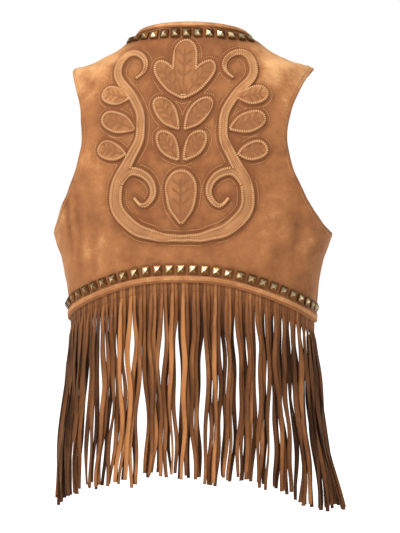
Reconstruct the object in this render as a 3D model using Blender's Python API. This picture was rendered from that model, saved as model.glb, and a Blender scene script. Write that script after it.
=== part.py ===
"""Cropped leather vest with a raised stitched back, pyramid studs and a long fringe.

Metres, +Z up. The vest keeps the round form that it has when worn: the front faces -Y, the back
faces +Y and the wearer's left is at +X. The origin lies between the shoulder seams, at the height
of their middle.
"""

import math
import random
from collections import namedtuple

import bmesh
import bpy
import numpy as np

WALL = 0.0018
SEAM_GAP = 0.0003
LAY_GAP = 0.0003
SIDE_ANGLE = math.pi / 2

# Sections of the round form. Each is a rounded box that reaches half_width to each side, back_depth
# behind the side seams and front_depth before them. A higher power has squarer corners.
FormRow = namedtuple("FormRow", "z half_width back_depth front_depth power")
FORM = (
    FormRow(-0.380, 0.172, 0.119, 0.112, 2.7),
    FormRow(-0.330, 0.1745, 0.120, 0.116, 2.7),
    FormRow(-0.290, 0.1815, 0.121, 0.122, 2.7),
    FormRow(-0.268, 0.1895, 0.121, 0.126, 2.6),
    FormRow(-0.252, 0.1935, 0.121, 0.128, 2.5),
    FormRow(-0.190, 0.192, 0.121, 0.130, 3.0),
    FormRow(-0.120, 0.187, 0.116, 0.112, 3.0),
    FormRow(-0.060, 0.176, 0.098, 0.080, 2.5),
    FormRow(-0.0255, 0.169, 0.085, 0.057, 2.2),
    FormRow(-0.0125, 0.135, 0.080, 0.052, 2.2),
    FormRow(0.003, 0.105, 0.074, 0.047, 2.2),
    FormRow(0.016, 0.087, 0.069, 0.043, 2.2),
    FormRow(0.025, 0.0765, 0.066, 0.040, 2.2),
    FormRow(0.040, 0.069, 0.062, 0.037, 2.2),
)

# Broad folds where the sides hang slack, as angles from the centre back.
Fold = namedtuple("Fold", "degrees z half_degrees half_height depth")
FOLDS = (
    Fold(54, -0.245, 7, 0.060, -0.0035),
    Fold(65, -0.255, 5, 0.060, 0.0010),
    Fold(-62, -0.270, 8, 0.050, -0.0025),
)

# Edges of the cut.
UNDERARM_Z = -0.252
TIP_Z = -0.0255
NECK_POINT_Z = 0.025
NECK_CENTRE_Z = 0.0375
HEM_CENTRE_Z = -0.3175
HEM_SIDE_Z = -0.376
ARCH_POWER = 1.4
SHOULDER_POWER = 1.65
FRONT_ARMHOLE_CUT_IN = 0.030
FRONT_ARMHOLE_POWER = 0.7

EdgeRow = namedtuple("EdgeRow", "z x")
ARMHOLE = (
    EdgeRow(-0.252, 0.1935),
    EdgeRow(-0.224, 0.1775),
    EdgeRow(-0.192, 0.1612),
    EdgeRow(-0.157, 0.1468),
    EdgeRow(-0.122, 0.1407),
    EdgeRow(-0.087, 0.1445),
    EdgeRow(-0.052, 0.1563),
    EdgeRow(-0.0255, 0.1690),
)
FRONT_EDGE = (
    EdgeRow(-0.330, 0.026),
    EdgeRow(-0.250, 0.019),
    EdgeRow(-0.180, 0.016),
    EdgeRow(-0.120, 0.030),
    EdgeRow(-0.060, 0.050),
    EdgeRow(-0.010, 0.067),
    EdgeRow(0.025, 0.0765),
)

# Grid of the panels. The back is fine enough for its ornament.
BACK_ROWS = 56
BACK_HALF_COLUMNS = 28
BACK_CENTRE_CROWDING = 0.75
NECK_HALF_COLUMNS = 17
NECK_SHARE = NECK_HALF_COLUMNS / BACK_HALF_COLUMNS
FAN_START = 0.5
INSIDE_STEP = 2
FRONT_ROWS = 26
FRONT_COLUMNS = 12

# Bands that edge the back.
HEM_BAND = 0.010
HEM_BAND_AT_SIDE = 0.0115
NECK_BAND = 0.008
NECK_BAND_AT_SEAM = 0.0057
BAND_THICKNESS = 0.0015

# Raised ornament on one half of the back, as flat sizes from the centre line: a vine with a volute,
# and leaves. The other half mirrors it.
RELIEF = 0.0026
RIB_HALF_WIDTH = 0.0070
Knot = namedtuple("Knot", "x z")
VINE = (
    Knot(0.000, -0.257),
    Knot(0.052, -0.252),
    Knot(0.090, -0.218),
    Knot(0.078, -0.166),
    Knot(0.056, -0.116),
    Knot(0.070, -0.066),
    Knot(0.092, -0.036),
    Knot(0.084, -0.010),
    Knot(0.062, -0.009),
    Knot(0.054, -0.028),
    Knot(0.066, -0.041),
)
VOLUTE = (
    Knot(0.084, -0.184),
    Knot(0.068, -0.168),
    Knot(0.046, -0.176),
    Knot(0.038, -0.198),
    Knot(0.050, -0.214),
    Knot(0.064, -0.204),
)
Leaf = namedtuple("Leaf", "x z degrees length width")
LEAVES = (
    Leaf(0.074, -0.146, 14, 0.040, 0.021),
    Leaf(0.062, -0.112, 20, 0.050, 0.023),
    Leaf(0.072, -0.070, 12, 0.040, 0.021),
    Leaf(0.000, -0.238, 90, 0.070, 0.036),
    Leaf(0.004, -0.152, 56, 0.046, 0.021),
    Leaf(0.004, -0.110, 52, 0.052, 0.022),
    Leaf(0.004, -0.066, 54, 0.058, 0.022),
    Leaf(0.000, -0.064, 90, 0.074, 0.030),
)
KNOT_STEPS = 8
LEAF_STEPS = 20

# Pyramid studs.
STUD_WIDTH = 0.012
STUD_RIM = 0.0012
STUD_HEIGHT = 0.0048
HEM_STUD_GAP = 0.0005
NECK_STUD_GAP = 0.0012
HEM_STUD_PITCH = 0.0161
HEM_STUD_ABOVE_HEM = 0.0178
HEM_STUD_ABOVE_HEM_AT_SIDE = 0.0210
NECK_STUD_PITCH = 0.0155
NECK_STUD_BELOW_RIM = 0.0155
NECK_STUD_FREE_END = 0.023

# Fringe. Its strands hang in three layers and gather in clumps, which part further down.
FRINGE_END_CENTRE_Z = -0.580
FRINGE_END_SIDE_Z = -0.629
FRINGE_SEED = 7
STRAND_COUNT = 112
STRAND_CROWDING = 0.10
STRAND_WIDTH = 0.0062
STRAND_PARTED_SHARE = 0.84
STRAND_END_SHARE = 0.7
STRAND_THICKNESS = 0.0015
STRAND_RINGS = (0.06, 0.26, 0.50, 0.75, 1.0)
STRAND_WANDER = 0.0011
STRAND_RAGGED = 0.004
LAYERS = (0, 1, -1)
LAYER_OFFSET = 0.0026
CLUMP_SIZES = (3, 4, 5, 6, 7)
CLUMP_PINCH = 0.18
CLUMP_PINCH_AT_SIDE = 0.05
CLUMP_GATHERED_FROM = 0.15
CLUMP_GATHERED_TO = 0.40
CLUMP_WANDER = 0.0026
CLUMP_RAGGED = 0.007
FLARE_BACK = 0.010
FLARE_LEFT = 0.026
FLARE_RIGHT = 0.036
FLARE_POWER = 1.3
SWAY = 0.004
SWAY_PITCH = 0.30
STRIP_ABOVE_HEM = 0.010
STRIP_BELOW_HEM = 0.012

SUEDE_TAN = (0.43, 0.17, 0.06, 1.0)
FRINGE_BROWN = (0.25, 0.10, 0.035, 1.0)
ANTIQUE_BRASS = (0.45, 0.30, 0.10, 1.0)


def column(rows, name):
    """One named column of a table, as an array."""
    return np.array([getattr(row, name) for row in rows])


def eased(rows, name, z):
    """Reads a table between its rows by a monotone cubic, which never swings past a row."""
    knots = column(rows, "z")
    values = column(rows, name)
    spans = np.diff(knots)
    slopes = np.diff(values) / spans
    product = slopes[:-1] * slopes[1:]
    total = np.where(product > 0, slopes[:-1] + slopes[1:], 1.0)
    middle = np.where(product > 0, 2 * product / total, 0.0)
    tangents = np.concatenate([slopes[:1], middle, slopes[-1:]])
    place = np.clip(np.searchsorted(knots, z) - 1, 0, len(spans) - 1)
    t = np.clip((z - knots[place]) / spans[place], 0, 1)
    return (
        values[place] * (1 + 2 * t) * (1 - t) ** 2
        + values[place + 1] * t * t * (3 - 2 * t)
        + tangents[place] * spans[place] * t * (1 - t) ** 2
        - tangents[place + 1] * spans[place] * t * t * (1 - t)
    )


def smooth_step(t):
    """Eases from 0 to 1 as t goes from 0 to 1."""
    t = np.clip(t, 0, 1)
    return t * t * (3 - 2 * t)


def fold_depth(angle, z):
    """How far the broad folds move the cloth out at an angle and height."""
    depth = 0 * angle
    for fold in FOLDS:
        across = (np.degrees(angle) - fold.degrees) / fold.half_degrees
        along = (z - fold.z) / fold.half_height
        depth = depth + fold.depth * np.exp(-(across**2) - along**2)
    return depth


def form_point(angle, z):
    """Points of the round form. The angle runs from the centre back, through the side, to the front."""
    sine = np.sin(angle)
    cosine = np.cos(angle)
    power = eased(FORM, "power", z)
    depth = np.where(cosine > 0, eased(FORM, "back_depth", z), eased(FORM, "front_depth", z))
    across = (np.abs(sine) / eased(FORM, "half_width", z)) ** power
    reach = (across + (np.abs(cosine) / depth) ** power) ** (-1 / power)
    reach = reach + fold_depth(angle, z)
    return np.stack([reach * sine, reach * cosine, z + 0 * reach], axis=-1)


def unit(vectors):
    """The same directions at length 1."""
    return vectors / np.linalg.norm(vectors, axis=-1, keepdims=True)


def form_normal(angle, z):
    """Directions that point out of the round form."""
    step = 1e-4
    around = form_point(angle + step, z) - form_point(angle - step, z)
    up = form_point(angle, z + step) - form_point(angle, z - step)
    return unit(np.cross(up, around))


def cloth_point(angle, z, out, side):
    """Points moved out of the form, and half a seam gap to the back (side 1) or front (side -1)."""
    moved = form_point(angle, z) + form_normal(angle, z) * np.asarray(out)[..., None]
    return moved + np.array([0, side * SEAM_GAP / 2, 0])


def angle_at(x, z, front):
    """The angle at which a section is x wide, on its front or its back."""
    power = eased(FORM, "power", z)
    depth = eased(FORM, "front_depth" if front else "back_depth", z)
    share = np.clip(x / eased(FORM, "half_width", z), 0, 1)
    y = depth * (1 - share**power) ** (1 / power)
    return np.arctan2(x, -y if front else y)


def back_side_angle(z):
    """The back's side seam and, above the underarm, its armhole edge."""
    return np.where(z <= UNDERARM_Z, SIDE_ANGLE, angle_at(eased(ARMHOLE, "x", z), z, front=False))


def front_side_angle(z):
    """The front's side seam and armhole edge, which is cut in further than the back's."""
    share = np.clip((z - UNDERARM_Z) / (TIP_Z - UNDERARM_Z), 0, 1)
    cut_in = FRONT_ARMHOLE_CUT_IN * np.abs(np.sin(math.pi * share)) ** FRONT_ARMHOLE_POWER
    x = eased(ARMHOLE, "x", z) - cut_in
    return np.where(z <= UNDERARM_Z, SIDE_ANGLE, angle_at(x, z, front=True))


def front_edge_angle(z):
    """The front's open edge and its neckline."""
    return angle_at(eased(FRONT_EDGE, "x", z), z, front=True)


def arch_z(share, centre_z, side_z):
    """Height of an arched line, from the centre (share 0) to a side seam (share 1 or -1)."""
    drop = np.sin(SIDE_ANGLE * np.abs(share) ** ARCH_POWER) ** 2
    return centre_z + (side_z - centre_z) * drop


def hem_z(share):
    """Height of the arched hem."""
    return arch_z(share, HEM_CENTRE_Z, HEM_SIDE_Z)


def fringe_end_z(share):
    """Height that the fringe hangs down to."""
    return arch_z(share, FRINGE_END_CENTRE_Z, FRINGE_END_SIDE_Z)


def rim_z(share):
    """Height of the back neck rim, from the centre (share 0) to a neck point (share 1 or -1)."""
    return NECK_CENTRE_Z + (NECK_POINT_Z - NECK_CENTRE_Z) * share**2


def shoulder_z(share):
    """Height of a shoulder seam, from the neck point (share 0) to the tip (share 1)."""
    return TIP_Z + (NECK_POINT_Z - TIP_Z) * (1 - share) ** SHOULDER_POWER


def rows_along(edge_angle, z_low, z_high, count, first):
    """Heights of a panel's rows on one edge: a first step, then even steps along the edge."""
    z = np.linspace(z_low, z_high, 400)
    steps = np.linalg.norm(np.diff(form_point(edge_angle(z), z), axis=0), axis=1)
    length = np.concatenate([[0], np.cumsum(steps)])
    wanted = np.concatenate([[0], np.linspace(first, length[-1], count)])
    return np.interp(wanted, length, z)


def back_grid():
    """Angles and heights of the back panel's grid, from hem to shoulder and from side to side."""
    s = np.linspace(-1, 1, 2 * BACK_HALF_COLUMNS + 1)
    low = s * (BACK_CENTRE_CROWDING + (1 - BACK_CENTRE_CROWDING) * s * s)
    top = np.clip(s / NECK_SHARE, -1, 1)
    beyond = np.clip((np.abs(s) - NECK_SHARE) / (1 - NECK_SHARE), 0, 1)
    z_top = np.where(beyond > 0, shoulder_z(beyond), rim_z(top))
    z_low = hem_z(low)
    side_z = rows_along(back_side_angle, HEM_SIDE_Z, TIP_Z, BACK_ROWS, HEM_BAND_AT_SIDE)
    centre_z = rows_along(np.zeros_like, HEM_CENTRE_Z, NECK_CENTRE_Z, BACK_ROWS, HEM_BAND)
    side_share = ((side_z - HEM_SIDE_Z) / (TIP_Z - HEM_SIDE_Z))[:, None]
    centre_share = ((centre_z - HEM_CENTRE_Z) / (NECK_CENTRE_Z - HEM_CENTRE_Z))[:, None]
    share = centre_share + (side_share - centre_share) * s * s
    fan = smooth_step((side_share - FAN_START) / (1 - FAN_START))
    angle = back_side_angle(side_z)[:, None] * ((1 - fan) * low + fan * top)
    return angle, z_low + (z_top - z_low) * share


def front_grid(hand):
    """Angles and heights of one front's grid, from hem to shoulder and from its side to its edge."""
    s = np.linspace(0, 1, FRONT_COLUMNS + 1)
    side_z = rows_along(front_side_angle, HEM_SIDE_Z, TIP_Z, FRONT_ROWS, HEM_BAND_AT_SIDE)
    edge_z = rows_along(front_edge_angle, HEM_CENTRE_Z, NECK_POINT_Z, FRONT_ROWS, HEM_BAND)
    side_share = ((side_z - HEM_SIDE_Z) / (TIP_Z - HEM_SIDE_Z))[:, None]
    edge_share = ((edge_z - HEM_CENTRE_Z) / (NECK_POINT_Z - HEM_CENTRE_Z))[:, None]
    share = side_share + (edge_share - side_share) * s
    z_low = hem_z(1 - s)
    z_top = shoulder_z(1 - s)
    side = front_side_angle(side_z)[:, None]
    edge = front_edge_angle(edge_z)[:, None]
    return hand * (side + (edge - side) * s), z_low + (z_top - z_low) * share


def knot_line(knots):
    """A smooth line through a few knots."""
    last = len(knots) - 1
    line = []
    for k in range(last):
        near = [np.array(knots[min(max(k + d, 0), last)]) for d in (-1, 0, 1, 2)]
        for t in np.arange(KNOT_STEPS) / KNOT_STEPS:
            weights = (
                -t + 2 * t**2 - t**3,
                2 - 5 * t**2 + 3 * t**3,
                t + 4 * t**2 - 3 * t**3,
                -(t**2) + t**3,
            )
            line.append(sum(w * p for w, p in zip(weights, near)) / 2)
    line.append(np.array(knots[last]))
    return np.array(line)


def leaf_line(leaf):
    """The closed outline of a leaf, pointed at its root."""
    turn = np.linspace(0, 2 * math.pi, LEAF_STEPS + 1)
    along = leaf.length * (1 - np.cos(turn)) / 2
    across = 0.6 * leaf.width * np.sin(turn) * np.abs(np.sin(turn / 2)) ** 0.6
    cosine = math.cos(math.radians(leaf.degrees))
    sine = math.sin(math.radians(leaf.degrees))
    x = leaf.x + along * cosine - across * sine
    z = leaf.z + along * sine + across * cosine
    return np.stack([x, z], axis=-1)


def relief_at(x, z):
    """Height of the ornament's ribs over the plain cloth."""
    lines = [knot_line(VINE), knot_line(VOLUTE)] + [leaf_line(leaf) for leaf in LEAVES]
    place = np.stack([np.abs(x), z], axis=-1)
    nearest = np.full(x.shape, np.inf)
    for line in lines:
        for start, end in zip(line[:-1], line[1:]):
            span = end - start
            t = np.clip((place - start) @ span / max(span @ span, 1e-12), 0, 1)
            away = np.linalg.norm(place - start - t[..., None] * span, axis=-1)
            nearest = np.minimum(nearest, away)
    share = np.clip(nearest / RIB_HALF_WIDTH, 0, 1)
    return RELIEF * (1 - share**2) ** 2


def wall_faces(rows, columns, step):
    """Faces of a closed wall: a fine outer grid, an inner grid of every few lines, and the rim."""
    inner_rows = rows // step
    inner_columns = columns // step
    outer_count = (rows + 1) * (columns + 1)

    def outer(r, c):
        return r * (columns + 1) + c

    def inner(r, c):
        return outer_count + r * (inner_columns + 1) + c

    faces = []
    for r in range(rows):
        for c in range(columns):
            faces.append((outer(r, c), outer(r, c + 1), outer(r + 1, c + 1), outer(r + 1, c)))
    for r in range(inner_rows):
        for c in range(inner_columns):
            faces.append((inner(r, c), inner(r + 1, c), inner(r + 1, c + 1), inner(r, c + 1)))
    for c in range(inner_columns):
        for near, far in ((0, 0), (rows, inner_rows)):
            edge = [outer(near, c * step + k) for k in range(step + 1)]
            faces.append((*edge, inner(far, c + 1), inner(far, c)))
    for r in range(inner_rows):
        for near, far in ((0, 0), (columns, inner_columns)):
            edge = [outer(r * step + k, near) for k in range(step + 1)]
            faces.append((*edge, inner(r + 1, far), inner(r, far)))
    return faces


def add_object(name, points, faces, material, collection, parent):
    """Makes one closed, triangulated object from points and faces."""
    mesh = bpy.data.meshes.new(name)
    build = bmesh.new()
    verts = [build.verts.new(point) for point in points]
    for face in faces:
        build.faces.new([verts[k] for k in face])
    bmesh.ops.recalc_face_normals(build, faces=build.faces)
    bmesh.ops.triangulate(build, faces=build.faces)
    build.to_mesh(mesh)
    build.free()
    mesh.materials.append(material)
    made = bpy.data.objects.new(name, mesh)
    made.parent = parent
    collection.objects.link(made)
    return made


def wall_parts(outer, inner, step=1):
    """Points and faces of a wall between an outer and an inner grid of points."""
    points = np.concatenate([outer.reshape(-1, 3), inner[::step, ::step].reshape(-1, 3)])
    return points, wall_faces(outer.shape[0] - 1, outer.shape[1] - 1, step)


def back_parts():
    """The back panel, with the ornament raised in its outer points."""
    angle, z = back_grid()
    plain = form_point(angle, z)
    outer = cloth_point(angle, z, relief_at(plain[..., 0], z), side=1)
    inner = cloth_point(angle, z, np.full(z.shape, -WALL), side=1)
    return wall_parts(outer, inner, INSIDE_STEP)


def front_parts(hand):
    """One plain front panel, on the wearer's left (hand 1) or right (hand -1)."""
    angle, z = front_grid(hand)
    outer = cloth_point(angle, z, np.zeros(z.shape), side=-1)
    inner = cloth_point(angle, z, np.full(z.shape, -WALL), side=-1)
    return wall_parts(outer, inner)


def band_parts(angle, z):
    """A band that lies on the back, made from the back's own places and moved out."""
    outer = cloth_point(angle, z, np.full(z.shape, LAY_GAP + BAND_THICKNESS), side=1)
    inner = cloth_point(angle, z, np.full(z.shape, LAY_GAP), side=1)
    return wall_parts(outer, inner)


def hem_band_parts():
    """The band along the back hem."""
    angle, z = back_grid()
    return band_parts(angle[:2], z[:2])


def neck_band_parts():
    """The band along the back neck rim, from one shoulder seam to the other."""
    share = np.linspace(-1, 1, 2 * NECK_HALF_COLUMNS + 1)
    drop = NECK_BAND + (NECK_BAND_AT_SEAM - NECK_BAND) * np.abs(share)
    top = rim_z(share)
    return band_parts(np.stack([SIDE_ANGLE * share] * 2), np.stack([top - drop, top]))


def hem_stud_z(share):
    """Height of the hem's row of studs."""
    above = HEM_STUD_ABOVE_HEM + (HEM_STUD_ABOVE_HEM_AT_SIDE - HEM_STUD_ABOVE_HEM) * share**2
    return hem_z(share) + above


def stud_places(pitch, free_end, height):
    """Angles, heights and slopes of a centred row of studs, evenly spaced but for its free ends."""
    share = np.linspace(-1, 1, 801)
    points = form_point(SIDE_ANGLE * share, height(share))
    length = np.concatenate([[0], np.cumsum(np.linalg.norm(np.diff(points, axis=0), axis=1))])
    count = int((length[-1] - STUD_WIDTH - 2 * free_end) / pitch) + 1
    wanted = length[-1] / 2 + pitch * (np.arange(count) - (count - 1) / 2)
    placed = np.interp(wanted, length, share)
    slope = np.gradient(height(share), share)
    return SIDE_ANGLE * placed, height(placed), np.interp(placed, share, slope)


def stud_parts(angle, z, slope, gap):
    """One pyramid stud, square to the cloth at its place, turned along its row and a small gap off."""
    normal = form_normal(angle, z)
    step = 1e-3
    ahead = form_point(angle + SIDE_ANGLE * step, z + slope * step)
    behind = form_point(angle - SIDE_ANGLE * step, z - slope * step)
    upward = unit(np.cross(normal, behind - ahead))
    along = np.cross(upward, normal)
    centre = cloth_point(angle, z, gap, side=1)
    half = STUD_WIDTH / 2
    corners = ((-1, -1), (1, -1), (1, 1), (-1, 1))
    base = [centre + half * (a * along + b * upward) for a, b in corners]
    rim = [corner + STUD_RIM * normal for corner in base]
    points = np.array(base + rim + [centre + STUD_HEIGHT * normal])
    faces = [(3, 2, 1, 0)]
    for k in range(4):
        after = (k + 1) % 4
        faces.append((k, after, 4 + after, 4 + k))
        faces.append((4 + k, 4 + after, 8))
    return points, faces


Clump = namedtuple("Clump", "centre gathered turns phase spare")
Strand = namedtuple("Strand", "root space layer clump turns phase spare")


def root_stops(length):
    """Places along a strip where one strand's root ends and the next begins: closer at the sides."""
    u = np.linspace(-1, 1, STRAND_COUNT + 1)
    return length / 2 * (1 + u * (1 + STRAND_CROWDING) - STRAND_CROWDING * u**3)


def strands(stops):
    """The strands between the stops, each in its layer and in the clump that it hangs with."""
    draw = random.Random(FRINGE_SEED)
    roots = (stops[:-1] + stops[1:]) / 2
    spaces = np.diff(stops)
    made = []
    while len(made) < STRAND_COUNT:
        first = len(made)
        last = min(first + draw.choice(CLUMP_SIZES), STRAND_COUNT)
        clump = Clump(
            centre=float(np.mean(roots[first:last])),
            gathered=draw.uniform(CLUMP_GATHERED_FROM, CLUMP_GATHERED_TO),
            turns=draw.uniform(0.5, 0.9),
            phase=draw.random(),
            spare=draw.uniform(-CLUMP_RAGGED, CLUMP_RAGGED),
        )
        for k in range(first, last):
            strand = Strand(
                root=roots[k],
                space=spaces[k],
                layer=LAYERS[k % len(LAYERS)],
                clump=clump,
                turns=draw.uniform(0.5, 1.2),
                phase=draw.random(),
                spare=clump.spare + draw.uniform(-STRAND_RAGGED, STRAND_RAGGED),
            )
            made.append(strand)
    return made


def strand_place(strand, t, length):
    """Place along a strip of a strand, at a share t of the way down. Clumps are looser at the sides."""
    clump = strand.clump
    settled = smooth_step((t - STRAND_RINGS[0]) / (clump.gathered - STRAND_RINGS[0]))
    side = smooth_step((abs(2 * strand.root / length - 1) - 0.5) / 0.3)
    pinch = CLUMP_PINCH + (CLUMP_PINCH_AT_SIDE - CLUMP_PINCH) * side
    wander = CLUMP_WANDER * math.sin(math.tau * (clump.turns * t + clump.phase))
    wander += STRAND_WANDER * math.sin(math.tau * (strand.turns * t + strand.phase))
    place = strand.root + settled * (pinch * (clump.centre - strand.root) + wander)
    return min(max(place, 0), length)


class HemStrip:
    """The fringe's backing strip, along the inside of the back hem, and how the fringe hangs from it."""

    def __init__(self):
        angle, z = back_grid()
        inside = cloth_point(angle, z, np.full(z.shape, -WALL), side=1)[::INSIDE_STEP, ::INSIDE_STEP]
        upward = unit(inside[1] - inside[0])
        normal = form_normal(angle[0, ::INSIDE_STEP], z[0, ::INSIDE_STEP])
        near = inside[0] - LAY_GAP * normal
        far = near - STRAND_THICKNESS * normal
        self.edges = {
            "outer_top": near + STRIP_ABOVE_HEM * upward,
            "outer_low": near - STRIP_BELOW_HEM * upward,
            "inner_low": far - STRIP_BELOW_HEM * upward,
            "inner_top": far + STRIP_ABOVE_HEM * upward,
        }
        self.low = (self.edges["outer_low"] + self.edges["inner_low"]) / 2
        steps = np.linalg.norm(np.diff(self.edges["outer_low"], axis=0), axis=1)
        self.places = np.concatenate([[0], np.cumsum(steps)])
        self.length = self.places[-1]
        self.outward = unit(normal * np.array([1, 1, 0]))
        self.share = angle[0, ::INSIDE_STEP] / SIDE_ANGLE

    def read(self, values, place):
        """Reads values that belong to the strip's columns, at a place along it."""
        return np.stack([np.interp(place, self.places, values[:, k]) for k in range(3)], axis=-1)

    def section(self, place):
        """The strip's four corners at a place along it."""
        return [self.read(edge, place) for edge in self.edges.values()]

    def root_z(self, place):
        """Height of the strip's lower edge at a place."""
        return self.read(self.low, place)[2]

    def end_z(self, place):
        """Height that the fringe hangs down to from a place."""
        return fringe_end_z(np.interp(place, self.places, self.share))

    def hang(self, place, t):
        """Where the fringe hangs, seen from above, at a share t of the way down from a place."""
        side = 2 * place / self.length - 1
        flare = FLARE_BACK + ((FLARE_LEFT if side > 0 else FLARE_RIGHT) - FLARE_BACK) * side**2
        wave = SWAY * math.sin(math.tau * (1.2 * t + place / SWAY_PITCH))
        out = flare * t**FLARE_POWER + wave * t
        return (self.read(self.low, place) + unit(self.read(self.outward, place)) * out)[:2]

    def frame(self, place, t):
        """Where the fringe hangs, and the outward and the lengthwise direction there, all level."""
        step = STRAND_WIDTH / 2
        inside = min(max(place, step), self.length - step)
        x, y = unit(self.hang(inside + step, t) - self.hang(inside - step, t))
        return self.hang(place, t), np.array([-y, x, 0.0]), np.array([x, y, 0.0])


def strand_ring(strip, strand, t):
    """The four corners of a strand at a share t of its length."""
    place = strand_place(strand, t, strip.length)
    root_z = strip.root_z(strand.root)
    usual = root_z - strip.end_z(strand.root)
    drop = t * (usual + strand.spare)
    hung, outward, along = strip.frame(place, drop / usual)
    centre = np.array([*hung, root_z - drop]) + outward * strand.layer * LAYER_OFFSET
    parted = STRAND_PARTED_SHARE * strand.space
    full = STRAND_WIDTH * (1 + (STRAND_END_SHARE - 1) * t**4)
    widened = smooth_step((t - STRAND_RINGS[0]) / (STRAND_RINGS[1] - STRAND_RINGS[0]))
    half = (parted + (full - parted) * widened) / 2
    deep = STRAND_THICKNESS / 2
    corners = ((-1, 1), (1, 1), (1, -1), (-1, -1))
    return [centre + a * half * along + b * deep * outward for a, b in corners]


def fringe_parts():
    """The fringe: a backing strip with the strands hanging from its lower edge, as one body."""
    strip = HemStrip()
    stops = root_stops(strip.length)
    points = [corner for stop in stops for corner in strip.section(stop)]
    last = 4 * STRAND_COUNT
    faces = [(0, 1, 2, 3), (last, last + 1, last + 2, last + 3)]
    for k, strand in enumerate(strands(stops)):
        here = 4 * k
        after = here + 4
        for a, b in ((0, 1), (2, 3), (3, 0)):
            faces.append((here + a, after + a, after + b, here + b))
        ring = (here + 1, after + 1, after + 2, here + 2)
        for t in STRAND_RINGS:
            first = len(points)
            points += strand_ring(strip, strand, t)
            lower = tuple(range(first, first + 4))
            for a in range(4):
                b = (a + 1) % 4
                faces.append((ring[a], ring[b], lower[b], lower[a]))
            ring = lower
        faces.append(ring)
    return np.array(points), faces


def new_material(name, colour, roughness, metallic=0.0):
    """A plain Principled material."""
    material = bpy.data.materials.new(name)
    material.use_nodes = True
    surface = material.node_tree.nodes["Principled BSDF"]
    surface.inputs["Base Color"].default_value = colour
    surface.inputs["Roughness"].default_value = roughness
    surface.inputs["Metallic"].default_value = metallic
    return material


def main():
    """Builds every piece of the vest."""
    for old in list(bpy.data.objects):
        bpy.data.objects.remove(old)
    collection = bpy.data.collections.new("leather_vest")
    bpy.context.scene.collection.children.link(collection)
    parent = bpy.data.objects.new("vest", None)
    collection.objects.link(parent)

    pieces = {
        "back": (back_parts(), "suede", SUEDE_TAN, 0.9, 0.0),
        "front_left": (front_parts(1), "suede", SUEDE_TAN, 0.9, 0.0),
        "front_right": (front_parts(-1), "suede", SUEDE_TAN, 0.9, 0.0),
        "neck_band_back": (neck_band_parts(), "suede", SUEDE_TAN, 0.9, 0.0),
        "hem_band_back": (hem_band_parts(), "suede", SUEDE_TAN, 0.9, 0.0),
        "fringe": (fringe_parts(), "fringe suede", FRINGE_BROWN, 0.9, 0.0),
    }
    hem_row = stud_places(HEM_STUD_PITCH, 0, hem_stud_z)
    neck_row = stud_places(
        NECK_STUD_PITCH, NECK_STUD_FREE_END, lambda share: rim_z(share) - NECK_STUD_BELOW_RIM
    )
    rows = (("hem_stud", hem_row, HEM_STUD_GAP), ("neck_stud", neck_row, NECK_STUD_GAP))
    for row, places, gap in rows:
        for number, (angle, z, slope) in enumerate(zip(*places), start=1):
            stud = stud_parts(angle, z, slope, gap)
            pieces[f"{row}_{number:02d}"] = (stud, "brass", ANTIQUE_BRASS, 0.35, 1.0)
    for name, ((points, faces), finish, colour, roughness, metallic) in pieces.items():
        material = new_material(f"{finish} of {name}", colour, roughness, metallic)
        add_object(name, points, faces, material, collection, parent)


main()
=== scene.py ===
"""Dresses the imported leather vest: napped suede panels, sewn ornament, brass studs and a cut fringe.

Everything is in metres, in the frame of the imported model: +Z up, the back of the vest at +Y and the
wearer's left at +X.
"""

from __future__ import annotations

import logging
import math
import random
from dataclasses import dataclass, field
from enum import Enum
from typing import Callable, Iterable, Sequence

import bmesh
import bpy
import numpy as np
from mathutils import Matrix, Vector
from mathutils.kdtree import KDTree

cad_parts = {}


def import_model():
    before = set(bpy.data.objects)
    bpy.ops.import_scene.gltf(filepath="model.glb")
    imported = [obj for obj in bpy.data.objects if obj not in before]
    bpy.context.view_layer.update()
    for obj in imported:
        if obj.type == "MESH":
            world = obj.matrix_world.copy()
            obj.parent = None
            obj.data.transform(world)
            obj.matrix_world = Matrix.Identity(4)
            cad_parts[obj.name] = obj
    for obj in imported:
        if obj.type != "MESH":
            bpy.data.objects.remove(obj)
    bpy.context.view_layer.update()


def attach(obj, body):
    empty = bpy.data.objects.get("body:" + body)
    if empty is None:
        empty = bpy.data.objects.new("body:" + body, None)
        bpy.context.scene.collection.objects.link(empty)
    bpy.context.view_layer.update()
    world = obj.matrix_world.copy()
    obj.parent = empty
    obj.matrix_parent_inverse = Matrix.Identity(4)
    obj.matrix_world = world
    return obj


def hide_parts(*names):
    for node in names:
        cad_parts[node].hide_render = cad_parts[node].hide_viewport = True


LOG = logging.getLogger("leather_vest")
BODY = "root"
MM = 0.001
SIDE_ANGLE = math.pi / 2
HANDS = (1, -1)
WALL = 0.0018
SEAM_DEPTH = 0.0009
SEAM_HALF = 0.0022
INSIDE_SHADE = -0.1
CREASE_SHADE = 230
Array = np.ndarray
Places = tuple[Array, Array, Array]
Span = tuple[float, float]


class Half(Enum):
    """The two halves of the round form, as the sign of Y."""

    BACK = 1
    FRONT = -1


class Slot(Enum):
    """Material slots of the record."""

    SUEDE = "suede"
    FRINGE = "suede_fringe"
    STUDS = "brass_studs"


def linear(hex_colour: str) -> tuple[float, float, float, float]:
    """Turns an sRGB hex colour into linear light.

    Args:
        hex_colour: six hex digits, red first.

    Returns:
        Linear red, green and blue, and an alpha of 1.
    """
    parts = [int(hex_colour[k : k + 2], 16) / 255 for k in (0, 2, 4)]
    made = [p / 12.92 if p <= 0.04045 else ((p + 0.055) / 1.055) ** 2.4 for p in parts]
    return made[0], made[1], made[2], 1.0


def smooth_step(low: float, high: float, values: Array) -> Array:
    """Eases from 0 where the values are at low to 1 where they are at high."""
    t = np.clip((values - low) / (high - low), 0, 1)
    return t * t * (3 - 2 * t)


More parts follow.
